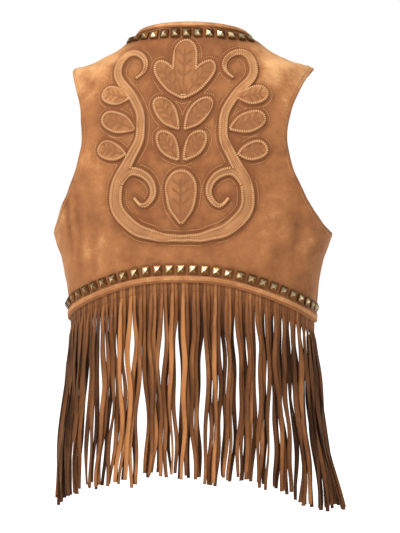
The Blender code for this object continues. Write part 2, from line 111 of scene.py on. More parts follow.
def bell(values: Array, centre: float, half: float) -> Array:
    """A smooth bump of height 1 about a centre, as wide as half on each side."""
    return np.exp(-(((values - centre) / half) ** 2))


def unit(vectors: Array) -> Array:
    """The same directions at length 1."""
    return vectors / np.maximum(np.linalg.norm(vectors, axis=-1, keepdims=True), 1e-12)


def run_lengths(points: Array) -> Array:
    """Length along a line of points, at each of its points."""
    steps = np.linalg.norm(np.diff(points, axis=0), axis=1)
    return np.concatenate([[0.0], np.cumsum(steps)])


# The round form and its cut


@dataclass(frozen=True)
class FormRow:
    """One level section of the round form: a rounded box, squarer for a higher power."""

    z: float
    half_width: float
    back_depth: float
    front_depth: float
    power: float


@dataclass(frozen=True)
class Fold:
    """A broad fold, at an angle from the centre back."""

    degrees: float
    z: float
    half_degrees: float
    half_height: float
    depth: float


@dataclass(frozen=True)
class Crease:
    """A soft crease near the sides: a trough with a lower ridge beside it."""

    x: float
    z: float
    lean: float
    half_width: float
    half_height: float
    depth: float
    ridge: float = 0.5
    ridge_at: float = -1.9
    ridge_half: float = 1.2

    def share(self, x: Array, z: Array) -> Array:
        """How deep the crease is at places: up to 1 in the trough and below 0 on the ridge."""
        aside = (x - self.x - self.lean * (z - self.z)) / self.half_width
        across = bell(aside, 0.0, 1.0) - self.ridge * bell(aside, self.ridge_at, self.ridge_half)
        return bell(z, self.z, self.half_height) * across


@dataclass(frozen=True)
class Wave:
    """A wave across the cloth: the distances over which it repeats, and its start in radians."""

    pitch_x: float
    pitch_z: float
    start: float = 0.0

    def at(self, x: Array, z: Array) -> Array:
        """The wave's height at places, from -1 to 1."""
        return np.sin(math.tau * (x / self.pitch_x + z / self.pitch_z) + self.start)


@dataclass(frozen=True)
class EdgeRow:
    """Distance of a cut edge from the centre plane, at one height."""

    z: float
    x: float


FORM = (
    FormRow(-0.380, 0.172, 0.119, 0.112, 2.7),
    FormRow(-0.330, 0.1745, 0.120, 0.116, 2.7),
    FormRow(-0.290, 0.1815, 0.121, 0.122, 2.7),
    FormRow(-0.268, 0.1895, 0.121, 0.126, 2.6),
    FormRow(-0.252, 0.1935, 0.121, 0.128, 2.5),
    FormRow(-0.190, 0.192, 0.121, 0.130, 3.0),
    FormRow(-0.120, 0.187, 0.116, 0.112, 3.0),
    FormRow(-0.060, 0.176, 0.098, 0.080, 2.5),
    FormRow(-0.0255, 0.169, 0.085, 0.057, 2.2),
    FormRow(-0.0125, 0.135, 0.080, 0.052, 2.2),
    FormRow(0.003, 0.105, 0.074, 0.047, 2.2),
    FormRow(0.016, 0.087, 0.069, 0.043, 2.2),
    FormRow(0.025, 0.0765, 0.066, 0.040, 2.2),
    FormRow(0.040, 0.069, 0.062, 0.037, 2.2),
)
FOLDS = (
    Fold(54, -0.245, 7, 0.060, -0.0035),
    Fold(65, -0.255, 5, 0.060, 0.0010),
    Fold(-62, -0.270, 8, 0.050, -0.0025),
)
BACK_CREASES = (
    Crease(0.161, -0.236, 0.10, 0.0050, 0.045, 0.0017),
    Crease(0.146, -0.258, 0.06, 0.0060, 0.050, 0.0012),
    Crease(0.124, -0.286, -0.05, 0.0070, 0.030, 0.0008),
    Crease(-0.150, -0.262, -0.08, 0.0065, 0.045, 0.0012),
    Crease(-0.128, -0.282, 0.06, 0.0080, 0.034, 0.0009),
    Crease(0.126, -0.060, 0.55, 0.0090, 0.040, 0.0007),
    Crease(-0.122, -0.070, -0.50, 0.0100, 0.040, 0.0007),
)
FRONT_CREASES = (
    Crease(0.150, -0.244, 0.12, 0.0060, 0.050, 0.0016),
    Crease(0.128, -0.270, -0.06, 0.0080, 0.045, 0.0011),
    Crease(0.070, -0.262, 0.10, 0.0100, 0.060, 0.0009),
    Crease(0.104, -0.072, 0.40, 0.0090, 0.040, 0.0008),
)
ARMHOLE = (
    EdgeRow(-0.252, 0.1935),
    EdgeRow(-0.224, 0.1775),
    EdgeRow(-0.192, 0.1612),
    EdgeRow(-0.157, 0.1468),
    EdgeRow(-0.122, 0.1407),
    EdgeRow(-0.087, 0.1445),
    EdgeRow(-0.052, 0.1563),
    EdgeRow(-0.0255, 0.1690),
)
FRONT_EDGE = (
    EdgeRow(-0.330, 0.026),
    EdgeRow(-0.250, 0.019),
    EdgeRow(-0.180, 0.016),
    EdgeRow(-0.120, 0.030),
    EdgeRow(-0.060, 0.050),
    EdgeRow(-0.010, 0.067),
    EdgeRow(0.025, 0.0765),
)


def eased(rows: Sequence, name: str, z: Array) -> Array:
    """Reads a table between its rows by a monotone cubic, which never swings past a row.

    Args:
        rows: the table, in order of z.
        name: the column to read.
        z: the heights to read it at.

    Returns:
        The column's values at those heights.
    """
    knots = np.array([row.z for row in rows])
    values = np.array([getattr(row, name) for row in rows])
    spans = np.diff(knots)
    slopes = np.diff(values) / spans
    product = slopes[:-1] * slopes[1:]
    total = np.where(product > 0, slopes[:-1] + slopes[1:], 1.0)
    middle = np.where(product > 0, 2 * product / total, 0.0)
    tangents = np.concatenate([slopes[:1], middle, slopes[-1:]])
    place = np.clip(np.searchsorted(knots, z) - 1, 0, len(spans) - 1)
    t = np.clip((z - knots[place]) / spans[place], 0, 1)
    return (
        values[place] * (1 + 2 * t) * (1 - t) ** 2
        + values[place + 1] * t * t * (3 - 2 * t)
        + tangents[place] * spans[place] * t * (1 - t) ** 2
        - tangents[place + 1] * spans[place] * t * t * (1 - t)
    )


@dataclass(frozen=True)
class RoundForm:
    """The hollow form that the worn vest keeps. Angles run from the centre back round to the front."""

    seam_gap: float = 0.00004

    def point(self, angle: Array, z: Array) -> Array:
        """Points of the form.

        Args:
            angle: angles from the centre back, in radians.
            z: heights.

        Returns:
            Points, one for each angle and height.
        """
        sine, cosine = np.sin(angle), np.cos(angle)
        power = eased(FORM, "power", z)
        depth = np.where(cosine > 0, eased(FORM, "back_depth", z), eased(FORM, "front_depth", z))
        across = (np.abs(sine) / eased(FORM, "half_width", z)) ** power
        reach = (across + (np.abs(cosine) / depth) ** power) ** (-1 / power)
        for fold in FOLDS:
            turned = bell(np.degrees(angle), fold.degrees, fold.half_degrees)
            reach = reach + fold.depth * turned * bell(z, fold.z, fold.half_height)
        return np.stack([reach * sine, reach * cosine, z + 0 * reach], axis=-1)

    def normal(self, angle: Array, z: Array) -> Array:
        """Directions that point out of the form, at angles and heights."""
        step = 1e-4
        around = self.point(angle + step, z) - self.point(angle - step, z)
        up = self.point(angle, z + step) - self.point(angle, z - step)
        return unit(np.cross(up, around))

    def cloth(self, angle: Array, z: Array, out: Array | float, half: Half) -> Array:
        """Points moved out of the form and half a seam gap off the side seams.

        Args:
            angle: angles from the centre back.
            z: heights.
            out: how far out the points move.
            half: the half that the cloth belongs to.

        Returns:
            The moved points.
        """
        out = np.broadcast_to(out, np.shape(z))
        moved = self.point(angle, z) + self.normal(angle, z) * out[..., None]
        return moved + np.array([0, half.value * self.seam_gap / 2, 0])

    def angle_at(self, x: Array, z: Array, half: Half) -> Array:
        """The angle at which a half's section reaches x from the centre plane."""
        power = eased(FORM, "power", z)
        depth = eased(FORM, "back_depth" if half is Half.BACK else "front_depth", z)
        share = np.clip(np.abs(x) / eased(FORM, "half_width", z), 0, 1)
        y = half.value * depth * (1 - share**power) ** (1 / power)
        return np.arctan2(x, y)

    def beside(self, angle: Array, z: Array, aside: float) -> tuple[Array, Array]:
        """A line on the form that runs beside another.

        Args:
            angle: angles of the line's points.
            z: heights of the line's points.
            aside: how far to the left of the line, seen from outside, the new one runs.

        Returns:
            Angles and heights of the new line.
        """
        points = self.point(angle, z)
        along = unit(np.gradient(points, axis=0))
        moved = points + np.cross(self.normal(angle, z), along) * aside
        return np.arctan2(moved[:, 0], moved[:, 1]), moved[:, 2]


@dataclass(frozen=True)
class Cut:
    """Edges of the vest's panels on the round form."""

    underarm_z: float = -0.252
    tip_z: float = -0.0255
    neck_point_z: float = 0.025
    neck_centre_z: float = 0.0375
    hem_centre_z: float = -0.3175
    hem_side_z: float = -0.376
    fringe_end_centre_z: float = -0.580
    fringe_end_side_z: float = -0.629
    arch_power: float = 1.4
    shoulder_power: float = 1.65
    front_armhole_cut_in: float = 0.030
    front_armhole_power: float = 0.7
    hem_studs_up: float = 0.0178
    hem_studs_up_more_at_side: float = 0.0032
    neck_studs_down: float = 0.0155
    hem_band_width: float = 0.010
    hem_band_more_at_side: float = 0.0015
    neck_band_width: float = 0.008
    neck_band_less_at_side: float = 0.0023
    samples: int = 600

    def arch_z(self, share: Array, centre_z: float, side_z: float) -> Array:
        """Height of an arched line, from the centre (share 0) to a side seam (share 1 or -1)."""
        drop = np.sin(SIDE_ANGLE * np.abs(share) ** self.arch_power) ** 2
        return centre_z + (side_z - centre_z) * drop

    def hem_z(self, share: Array) -> Array:
        """Height of the arched hem."""
        return self.arch_z(share, self.hem_centre_z, self.hem_side_z)

    def fringe_end_z(self, share: Array) -> Array:
        """Height that the fringe hangs down to."""
        return self.arch_z(share, self.fringe_end_centre_z, self.fringe_end_side_z)

    def rim_z(self, share: Array) -> Array:
        """Height of the back neck rim, from the centre (share 0) to a neck point (share 1 or -1)."""
        return self.neck_centre_z + (self.neck_point_z - self.neck_centre_z) * share**2

    def hem_studs_z(self, share: Array) -> Array:
        """Height of the row of studs over the hem."""
        return self.hem_z(share) + self.hem_studs_up + self.hem_studs_up_more_at_side * share**2

    def neck_studs_z(self, share: Array) -> Array:
        """Height of the row of studs under the neck rim."""
        return self.rim_z(share) - self.neck_studs_down

    def hem_band_top_z(self, share: Array) -> Array:
        """Height of the upper edge of the hem band."""
        return self.hem_z(share) + self.hem_band_width + self.hem_band_more_at_side * share**2

    def neck_band_low_z(self, share: Array) -> Array:
        """Height of the lower edge of the neck band."""
        return self.rim_z(share) - self.neck_band_width + self.neck_band_less_at_side * np.abs(share)

    def shoulder_z(self, share: Array) -> Array:
        """Height of a shoulder seam, from the neck point (share 0) to the tip (share 1)."""
        return self.tip_z + (self.neck_point_z - self.tip_z) * (1 - share) ** self.shoulder_power

    def back_side(self, z: Array) -> Array:
        """Angle of the back's side seam and armhole edge."""
        armhole = VEST.angle_at(eased(ARMHOLE, "x", z), z, Half.BACK)
        return np.where(z <= self.underarm_z, SIDE_ANGLE, armhole)

    def front_side(self, z: Array) -> Array:
        """Angle of a front's side seam and armhole edge, which is cut in further."""
        share = np.clip((z - self.underarm_z) / (self.tip_z - self.underarm_z), 0, 1)
        bow = np.abs(np.sin(math.pi * share)) ** self.front_armhole_power
        armhole = VEST.angle_at(
            eased(ARMHOLE, "x", z) - self.front_armhole_cut_in * bow, z, Half.FRONT
        )
        return np.where(z <= self.underarm_z, SIDE_ANGLE, armhole)

    def front_edge(self, z: Array) -> Array:
        """Angle of a front's open edge and neckline."""
        return VEST.angle_at(eased(FRONT_EDGE, "x", z), z, Half.FRONT)

    def rows_along(
        self, edge: Callable[[Array], Array], z_low: float, z_high: float, count: int
    ) -> Array:
        """Heights of evenly spaced rows along an edge.

        Args:
            edge: gives the edge's angle at a height.
            z_low: the edge's lower end.
            z_high: its upper end.
            count: how many spaces there are between the rows.

        Returns:
            The rows' heights.
        """
        z = np.linspace(z_low, z_high, self.samples)
        length = run_lengths(VEST.point(edge(z), z))
        return np.interp(np.linspace(0, length[-1], count + 1), length, z)


VEST = RoundForm()
CUT = Cut()


# Raised ornament


@dataclass(frozen=True)
class Knot:
    """A point of a band's centre line, and the band's half width there."""

    x: float
    z: float
    half: float


@dataclass(frozen=True)
class Leaf:
    """A leaf outline, from its pointed root."""

    x: float
    z: float
    degrees: float
    length: float
    width: float


@dataclass(frozen=True)
class Ornament:
    """A mirrored vine with volutes and leaves, padded from behind and edged with a sewn cord."""

    vine: tuple[Knot, ...] = (
        Knot(0.000, -0.258, 0.0050),
        Knot(0.045, -0.252, 0.0080),
        Knot(0.076, -0.235, 0.0094),
        Knot(0.090, -0.206, 0.0092),
        Knot(0.078, -0.166, 0.0080),
        Knot(0.056, -0.116, 0.0064),
        Knot(0.070, -0.066, 0.0064),
        Knot(0.092, -0.036, 0.0062),
        Knot(0.084, -0.010, 0.0054),
        Knot(0.062, -0.009, 0.0044),
        Knot(0.054, -0.028, 0.0032),
        Knot(0.066, -0.041, 0.0016),
    )
    volute: tuple[Knot, ...] = (
        Knot(0.084, -0.184, 0.0062),
        Knot(0.068, -0.168, 0.0060),
        Knot(0.046, -0.176, 0.0054),
        Knot(0.038, -0.198, 0.0044),
        Knot(0.050, -0.214, 0.0032),
        Knot(0.064, -0.204, 0.0016),
    )
    leaves: tuple[Leaf, ...] = (
        Leaf(0.074, -0.146, 14, 0.043, 0.027),
        Leaf(0.062, -0.112, 20, 0.053, 0.029),
        Leaf(0.072, -0.070, 12, 0.043, 0.027),
        Leaf(0.000, -0.241, 90, 0.076, 0.044),
        Leaf(0.003, -0.155, 56, 0.050, 0.027),
        Leaf(0.003, -0.113, 52, 0.056, 0.028),
        Leaf(0.000, -0.071, 54, 0.066, 0.028),
        Leaf(0.000, -0.067, 90, 0.080, 0.036),
    )
    cord: float = 0.0021
    cord_height: float = 0.0015
    padding: float = 0.0010
    dome: float = 0.0018
    dome_span: Span = (-0.002, -0.014)
    groove_depth: float = 0.0012
    groove_at: float = 0.0009
    groove_half: float = 0.0012
    trough_depth: float = 0.0009
    trough_at: float = 0.0060
    trough_half: float = 0.0060
    echo: float = 0.0048
    echo_half: float = 0.0011
    echo_depth: float = 0.0006
    vein_half: float = 0.0013
    vein_depth: float = 0.0011
    band_pale: float = 0.30
    leaf_pale: float = 0.12
    groove_shade: float = 0.95
    groove_shade_at: float = 0.0008
    groove_shade_half: float = 0.0014
    trough_shade: float = 0.12
    trough_shade_at: float = 0.0055
    trough_shade_half: float = 0.0055
    cord_shade: float = 0.10
    vein_shade: float = 0.60
    echo_shade: float = 0.30
    uneven: float = 0.0005
    uneven_x: Wave = Wave(math.inf, 0.037, 1.0)
    uneven_z: Wave = Wave(0.033, math.inf)
    even_at_middle: float = 0.012

    @staticmethod
    def knot_line(knots: Sequence[Knot], spacing: float = 0.004) -> Array:
        """A natural cubic spline through a few knots.

        A line that starts at the middle is carried on to the other half, so that it crosses level.

        Args:
            knots: knots of the line.
            spacing: rough distance between the line's points.

        Returns:
            The line's points, each with the band's half width there.
        """
        rows = np.array([(knot.x, knot.z, knot.half) for knot in knots])
        first = 0
        if rows[0, 0] == 0:
            first = len(rows) - 1
            rows = np.vstack([rows[:0:-1] * (-1, 1, 1), rows])
        at = run_lengths(rows[:, :2])
        gaps = np.diff(at)
        slopes = np.diff(rows, axis=0) / gaps[:, None]
        weights = np.eye(len(rows))
        turns = np.zeros_like(rows)
        for k in range(1, len(rows) - 1):
            weights[k, k - 1 : k + 2] = (gaps[k - 1], 2 * (gaps[k - 1] + gaps[k]), gaps[k])
            turns[k] = 6 * (slopes[k] - slopes[k - 1])
        bends = np.linalg.solve(weights, turns)
        run = np.linspace(at[first], at[-1], round((at[-1] - at[first]) / spacing) + 1)
        span = np.clip(np.searchsorted(at, run) - 1, first, len(gaps) - 1)
        wide = gaps[span][:, None]
        ahead = (run - at[span])[:, None] / wide
        behind = 1 - ahead
        bent = (behind**3 - behind) * bends[span] + (ahead**3 - ahead) * bends[span + 1]
        return behind * rows[span] + ahead * rows[span + 1] + bent * wide**2 / 6

    @staticmethod
    def leaf_line(leaf: Leaf, steps: int = 48, fullness: float = 0.6, taper: float = 0.6) -> Array:
        """The closed outline of a leaf.

        Args:
            leaf: the leaf's sizes.
            steps: how many points it gets.
            fullness: how far it swells to each side, as a share of the leaf's width.
            taper: how sharply it narrows to its root.

        Returns:
            The outline's points.
        """
        turn = np.linspace(0, 2 * math.pi, steps + 1)
        along = leaf.length * (1 - np.cos(turn)) / 2
        across = fullness * leaf.width * np.sin(turn) * np.abs(np.sin(turn / 2)) ** taper
        cosine = math.cos(math.radians(leaf.degrees))
        sine = math.sin(math.radians(leaf.degrees))
        x = leaf.x + along * cosine - across * sine
        z = leaf.z + along * sine + across * cosine
        return np.stack([x, z], axis=-1)

    @staticmethod
    def vein_lines(leaf: Leaf) -> list[Array]:
        """A leaf's middle vein and the side veins that branch off it."""
        middle_ends = (0.16, 0.80)
        branches_at = (0.34, 0.52, 0.68)
        branch_ahead, branch_aside = 0.22, 0.24
        turn = math.radians(leaf.degrees)
        ahead = np.array([math.cos(turn), math.sin(turn)])
        aside = np.array([-ahead[1], ahead[0]])
        root = np.array([leaf.x, leaf.z])
        lines = [np.array([root + share * leaf.length * ahead for share in middle_ends])]
        spread = branch_aside * leaf.width * aside
        for share in branches_at:
            start = root + share * leaf.length * ahead
            tip = start + branch_ahead * leaf.width * ahead
            lines += [np.array([start, tip + side * spread]) for side in HANDS]
        return lines

    def by_hand(self, line: Array) -> Array:
        """The same line with the small unevenness of hand-guided sewing."""
        x, z = line[:, 0], line[:, 1]
        clear_of_middle = smooth_step(0, self.even_at_middle, x)
        uneven = line.copy()
        uneven[:, 0] += self.uneven * self.uneven_x.at(x, z) * clear_of_middle
        uneven[:, 1] += self.uneven * self.uneven_z.at(x, z) * clear_of_middle
        return uneven

    def bands(self) -> list[Array]:
        """Centre lines of the bands on one half, with their half widths."""
        return [self.by_hand(self.knot_line(knots)) for knots in (self.vine, self.volute)]

    def outlines(self) -> list[Array]:
        """Outlines of the leaves on one half."""
        return [self.by_hand(self.leaf_line(leaf)) for leaf in self.leaves]

    @staticmethod
    def on_one_half(x: Array, z: Array) -> Array:
        """Flat places, with the two halves of the back laid on each other."""
        return np.stack([np.abs(x), z], axis=-1)

    @staticmethod
    def hairline(line: Array) -> Array:
        """The same line as a band of no width."""
        return np.column_stack([line, np.zeros(len(line))])

    @staticmethod
    def left_of(line: Array) -> Array:
        """Directions to the left of a flat line, at its points."""
        along = unit(np.gradient(line, axis=0))
        return np.stack([-along[:, 1], along[:, 0]], axis=-1)

    def vein(self, x: Array, z: Array) -> Array:
        """How near places on the back are to the leaves' veins: 1 in a vein and 0 away from it."""
        places = self.on_one_half(x, z)
        lines = [self.hairline(line) for leaf in self.leaves for line in self.vein_lines(leaf)]
        away = np.min([self.band_edge(line, places) for line in lines], axis=0)
        return bell(away, 0.0, self.vein_half)

    def in_bands(self, x: Array, z: Array) -> Array:
        """Distance of places on the back outside the bands alone, negative within them."""
        places = self.on_one_half(x, z)
        return np.min([self.band_edge(line, places) for line in self.bands()], axis=0)

    @staticmethod
    def band_edge(line: Array, places: Array) -> Array:
        """Distance of flat places outside a band's edge, negative within it.

        Args:
            line: the band's centre line and half widths.
            places: flat points.

        Returns:
            One distance for each place.
        """
        nearest = np.full(places.shape[:-1], np.inf)
        for start, end in zip(line[:-1], line[1:]):
            span = end[:2] - start[:2]
            t = np.clip((places - start[:2]) @ span / max(float(span @ span), 1e-12), 0, 1)
            away = np.linalg.norm(places - start[:2] - t[..., None] * span, axis=-1)
            nearest = np.minimum(nearest, away - (start[2] + t * (end[2] - start[2])))
        return nearest

    @staticmethod
    def leaf_edge(line: Array, places: Array) -> Array:
        """Distance of flat places outside a leaf's outline, negative within it.

        Args:
            line: the outline's points.
            places: flat points.

        Returns:
            One distance for each place.
        """
        away = Ornament.band_edge(Ornament.hairline(line), places)
        within = np.zeros(places.shape[:-1], bool)
        x, z = places[..., 0], places[..., 1]
        for (x0, z0), (x1, z1) in zip(line[:-1], line[1:]):
            if z0 != z1:
                within ^= ((z0 > z) != (z1 > z)) & (x < x0 + (x1 - x0) * (z - z0) / (z1 - z0))
        return np.where(within, -away, away)

    def edge(self, x: Array, z: Array) -> Array:
        """Distance of places on the back outside the raised work, negative within it."""
        places = self.on_one_half(x, z)
        leaves = [self.leaf_edge(line, places) for line in self.outlines()]
        return np.min([self.in_bands(x, z), *leaves], axis=0)

    def height(self, edge: Array) -> Array:
        """Height of the padded work, its cord and the cloth that is drawn in beside it."""
        padded = self.padding * smooth_step(0.0, -2 * self.cord, edge)
        padded = padded + self.dome * smooth_step(*self.dome_span, edge)
        corded = self.cord_height * np.sqrt(np.clip(1 - (edge / self.cord + 1) ** 2, 0, 1))
        groove = self.groove_depth * bell(edge, self.groove_at, self.groove_half)
        trough = self.trough_depth * bell(edge, self.trough_at, self.trough_half)
        echoed = self.echo_depth * bell(edge, self.echo, self.echo_half)
        return padded + corded - groove - trough - echoed

    def rib(self, x: Array, z: Array, edge: Array) -> Array:
        """How pale the filled bands and the padded leaves are."""
        bands = self.band_pale * smooth_step(-self.cord, -2 * self.cord, self.in_bands(x, z))
        leaves = self.leaf_pale * smooth_step(-self.cord, -3 * self.cord, edge)
        return np.maximum(bands, leaves)

    def shadow(self, edge: Array, vein: Array) -> Array:
        """How dark the cloth is in the grooves beside the cords, in the veins and under the echo row."""
        groove = self.groove_shade * bell(edge, self.groove_shade_at, self.groove_shade_half)
        trough = self.trough_shade * bell(edge, self.trough_shade_at, self.trough_shade_half)
        cord = self.cord_shade * bell(edge, -self.cord, self.cord)
        echoed = self.echo_shade * bell(edge, self.echo, self.echo_half)
        return groove + trough + cord + self.vein_shade * vein + echoed

    def lines_at(self, out: float) -> list[Array]:
        """Flat lines on one half that run beside the edges of every shape.

        Args:
            out: how far outside the edges they run, or inside them where it is negative.

        Returns:
            The lines' points.
        """
        lines = []
        for band in self.bands():
            line = band[:, :2]
            aside = np.maximum(band[:, 2] + out, 0)[:, None]
            lines += [line + side * self.left_of(line) * aside for side in HANDS]
        for line in self.outlines():
            lines.append(line + out * self.left_of(line))
        return lines


# Materials


def set_inputs(tree: bpy.types.NodeTree, node: bpy.types.Node, inputs: dict) -> None:
    """Gives a node its values and links.

    Args:
        tree: the node tree.
        node: the node.
        inputs: for each input, by name or number, a value or the output socket to link.
    """
    for key, value in inputs.items():
        socket = node.inputs[key]
        if isinstance(value, bpy.types.NodeSocket):
            tree.links.new(value, socket)
        else:
            socket.default_value = value


def add_node(
    tree: bpy.types.NodeTree, kind: str, inputs: dict | None = None, **settings
) -> bpy.types.Node:
    """Adds a node with its settings, values and links.

    Args:
        tree: the node tree.
        kind: the node's type name.
        inputs: its values and links, as set_inputs takes them.
        settings: the node's own properties.

    Returns:
        The new node.
    """
    node = tree.nodes.new(kind)
    for name, value in settings.items():
        setattr(node, name, value)
    set_inputs(tree, node, inputs or {})
    return node


def new_material(name: str) -> tuple[bpy.types.Material, bpy.types.NodeTree, bpy.types.Node]:
    """Makes an empty node material.

    Args:
        name: the material's name.

    Returns:
        The material, its node tree and its Principled shader.
    """
    material = bpy.data.materials.new(name)
    material.use_nodes = True
    tree = material.node_tree
    tree.nodes.clear()
    shader = add_node(tree, "ShaderNodeBsdfPrincipled")
    add_node(tree, "ShaderNodeOutputMaterial", {"Surface": shader.outputs[0]})
    return material, tree, shader


def set_ramp(ramp: bpy.types.Node, stops: Iterable[tuple[float, str]]) -> None:
    """Gives a colour ramp its stops.

    Args:
        ramp: the ColorRamp node.
        stops: places and hex colours, in order.
    """
    elements = ramp.color_ramp.elements
    rows = list(stops)
    while len(elements) < len(rows):
        elements.new(0.5)
    for element, (place, colour) in zip(elements, rows):
        element.position = place
        element.color = linear(colour)


@dataclass(frozen=True)
class NappedSuede:
    """Split cowhide, brushed to a nap: cloudy where the nap lies different ways, with no gloss.

    The eye sees soft patches a few centimetres across, a fine felted grain and a pale edge glow.
    The fibres of a nap are too fine to show, so its grain is drawn as coarse as it needs to show.
    """

    name: str = "Napped suede"
    dark: str = "74472A"
    mid: str = "93603A"
    light: str = "CC9A68"
    rib: str = "B98A5E"
    glow: str = "F2C79A"
    patch_mm: float = 42.0
    patch_weight: float = 1.35
    cloud_mm: float = 11.0
    cloud_weight: float = 0.55
    nap_mm: float = 2.2
    nap_weight: float = 0.50
    darkest: float = 0.85
    lightest: float = 2.05
    grain_height: float = 0.00045

    def build(self) -> bpy.types.Material:
        """Makes the material. The attribute shade lightens it and the attribute rib marks raised work."""
        material, tree, shader = new_material(self.name)
        place = add_node(tree, "ShaderNodeTexCoord").outputs["Object"]
        patch, cloud, nap = (
            add_node(
                tree,
                "ShaderNodeTexNoise",
                {"Vector": place, "Scale": 1 / (size * MM), "Detail": detail, "Roughness": roughness},
            ).outputs["Fac"]
            for size, detail, roughness in (
                (self.patch_mm, 3.0, 0.55),
                (self.cloud_mm, 4.0, 0.6),
                (self.nap_mm, 3.0, 0.7),
            )
        )
        tone = add_node(tree, "ShaderNodeAttribute", attribute_name="shade").outputs["Fac"]
        weights = ((patch, self.patch_weight), (cloud, self.cloud_weight), (nap, self.nap_weight))
        for noise, weight in weights:
            tone = add_node(
                tree, "ShaderNodeMath", {0: noise, 1: weight, 2: tone}, operation="MULTIPLY_ADD"
            ).outputs[0]
        level = add_node(
            tree,
            "ShaderNodeMapRange",
            {"Value": tone, "From Min": self.darkest, "From Max": self.lightest},
        )
        ramp = add_node(tree, "ShaderNodeValToRGB", {"Fac": level.outputs[0]})
        set_ramp(ramp, ((0.0, self.dark), (0.45, self.mid), (1.0, self.light)))
        rib = add_node(tree, "ShaderNodeAttribute", attribute_name="rib")
        raised = add_node(
            tree,
            "ShaderNodeMix",
            {0: rib.outputs["Fac"], 6: ramp.outputs["Color"], 7: linear(self.rib)},
            data_type="RGBA",
        )
        bump = add_node(
            tree,
            "ShaderNodeBump",
            {"Height": nap, "Strength": 0.6, "Distance": self.grain_height},
        )
        shading = {
            "Base Color": raised.outputs[2],
            "Normal": bump.outputs[0],
            "Roughness": 0.92,
            "Specular IOR Level": 0.12,
            "Sheen Weight": 0.22,
            "Sheen Roughness": 0.45,
            "Sheen Tint": linear(self.glow),
        }
        set_inputs(tree, shader, shading)
        return material


@dataclass(frozen=True)
class CutSuede:
    """Suede cut into thin strands: darker than the panels, each strand of its own tone, with painted shade
    along its edges.

    The eye sees brown strands, near black where they turn away and warm where the light meets them.
    The streaks and the nap are drawn coarser than real fibres, as coarse as they need to show.
    """

    name: str = "Cut suede strands"
    dark: str = "301B0F"
    mid: str = "6E4427"
    light: str = "A36C40"
    glow: str = "E0B080"
    streak_mm: float = 2.2
    streak_drawn_out: float = 0.12
    streak_weight: float = 0.5
    nap_mm: float = 1.4
    grain_height: float = 0.0003

    def build(self) -> bpy.types.Material:
        """Makes the material. The attribute shade gives each strand its tone."""
        material, tree, shader = new_material(self.name)
        place = add_node(tree, "ShaderNodeTexCoord").outputs["Object"]
        drawn = add_node(
            tree, "ShaderNodeMapping", {"Vector": place, "Scale": (1.0, 1.0, self.streak_drawn_out)}
        )
        streak = add_node(
            tree,
            "ShaderNodeTexNoise",
            {"Vector": drawn.outputs[0], "Scale": 1 / (self.streak_mm * MM), "Detail": 3.0},
        )
        nap = add_node(
            tree,
            "ShaderNodeTexNoise",
            {"Vector": place, "Scale": 1 / (self.nap_mm * MM), "Detail": 3.0, "Roughness": 0.7},
        )
        shade = add_node(tree, "ShaderNodeAttribute", attribute_name="shade")
        tone = add_node(
            tree,
            "ShaderNodeMath",
            {0: streak.outputs["Fac"], 1: self.streak_weight, 2: shade.outputs["Fac"]},
            operation="MULTIPLY_ADD",
        )
        ramp = add_node(tree, "ShaderNodeValToRGB", {"Fac": tone.outputs[0]})
        set_ramp(ramp, ((0.15, self.dark), (0.65, self.mid), (1.15, self.light)))
        bump = add_node(
            tree,
            "ShaderNodeBump",
            {"Height": nap.outputs["Fac"], "Strength": 0.6, "Distance": self.grain_height},
        )
        shading = {
            "Base Color": ramp.outputs["Color"],
            "Normal": bump.outputs[0],
            "Roughness": 0.9,
            "Specular IOR Level": 0.12,
            "Sheen Weight": 0.15,
            "Sheen Roughness": 0.45,
            "Sheen Tint": linear(self.glow),
        }
        set_inputs(tree, shader, shading)
        return material


@dataclass(frozen=True)
class AntiqueBrass:
    """Pressed brass, darkened and then rubbed: brown in the low places and bright round each tip, with
    painted highlight on the faces turned to the light.
    """

    name: str = "Antique brass"
    patina: str = "5E3B1A"
    rubbed_and_lit: str = "F0D8A8"
    grain_mm: float = 2.5
    grain_weight: float = 0.5

    def build(self) -> bpy.types.Material:
        """Makes the material. Its vertex attribute says how far the patina is rubbed off, and carries
        painted highlight.
        """
        material, tree, shader = new_material(self.name)
        place = add_node(tree, "ShaderNodeTexCoord").outputs["Object"]
        grain = add_node(
            tree,
            "ShaderNodeTexNoise",
            {"Vector": place, "Scale": 1 / (self.grain_mm * MM), "Detail": 3.0},
        )
        worn_and_lit = add_node(tree, "ShaderNodeAttribute", attribute_name="worn_and_lit")
        # grain over the wear and the painted highlight
        rubbed_and_lit = add_node(
            tree,
            "ShaderNodeMath",
            {0: grain.outputs["Fac"], 1: self.grain_weight, 2: worn_and_lit.outputs["Fac"]},
            operation="MULTIPLY_ADD",
        )
        ramp = add_node(tree, "ShaderNodeValToRGB", {"Fac": rubbed_and_lit.outputs[0]})
        set_ramp(ramp, ((0.25, self.patina), (1.0, self.rubbed_and_lit)))
        dull = add_node(
            tree,
            "ShaderNodeMapRange",
            {"Value": rubbed_and_lit.outputs[0], "From Min": 0.2, "To Min": 0.42, "To Max": 0.2},
        )
        shading = {
            "Base Color": ramp.outputs["Color"],
            "Roughness": dull.outputs[0],
            "Metallic": 1.0,
            "Coat Weight": 0.08,
            "Coat Roughness": 0.12,
        }
        set_inputs(tree, shader, shading)
        return material


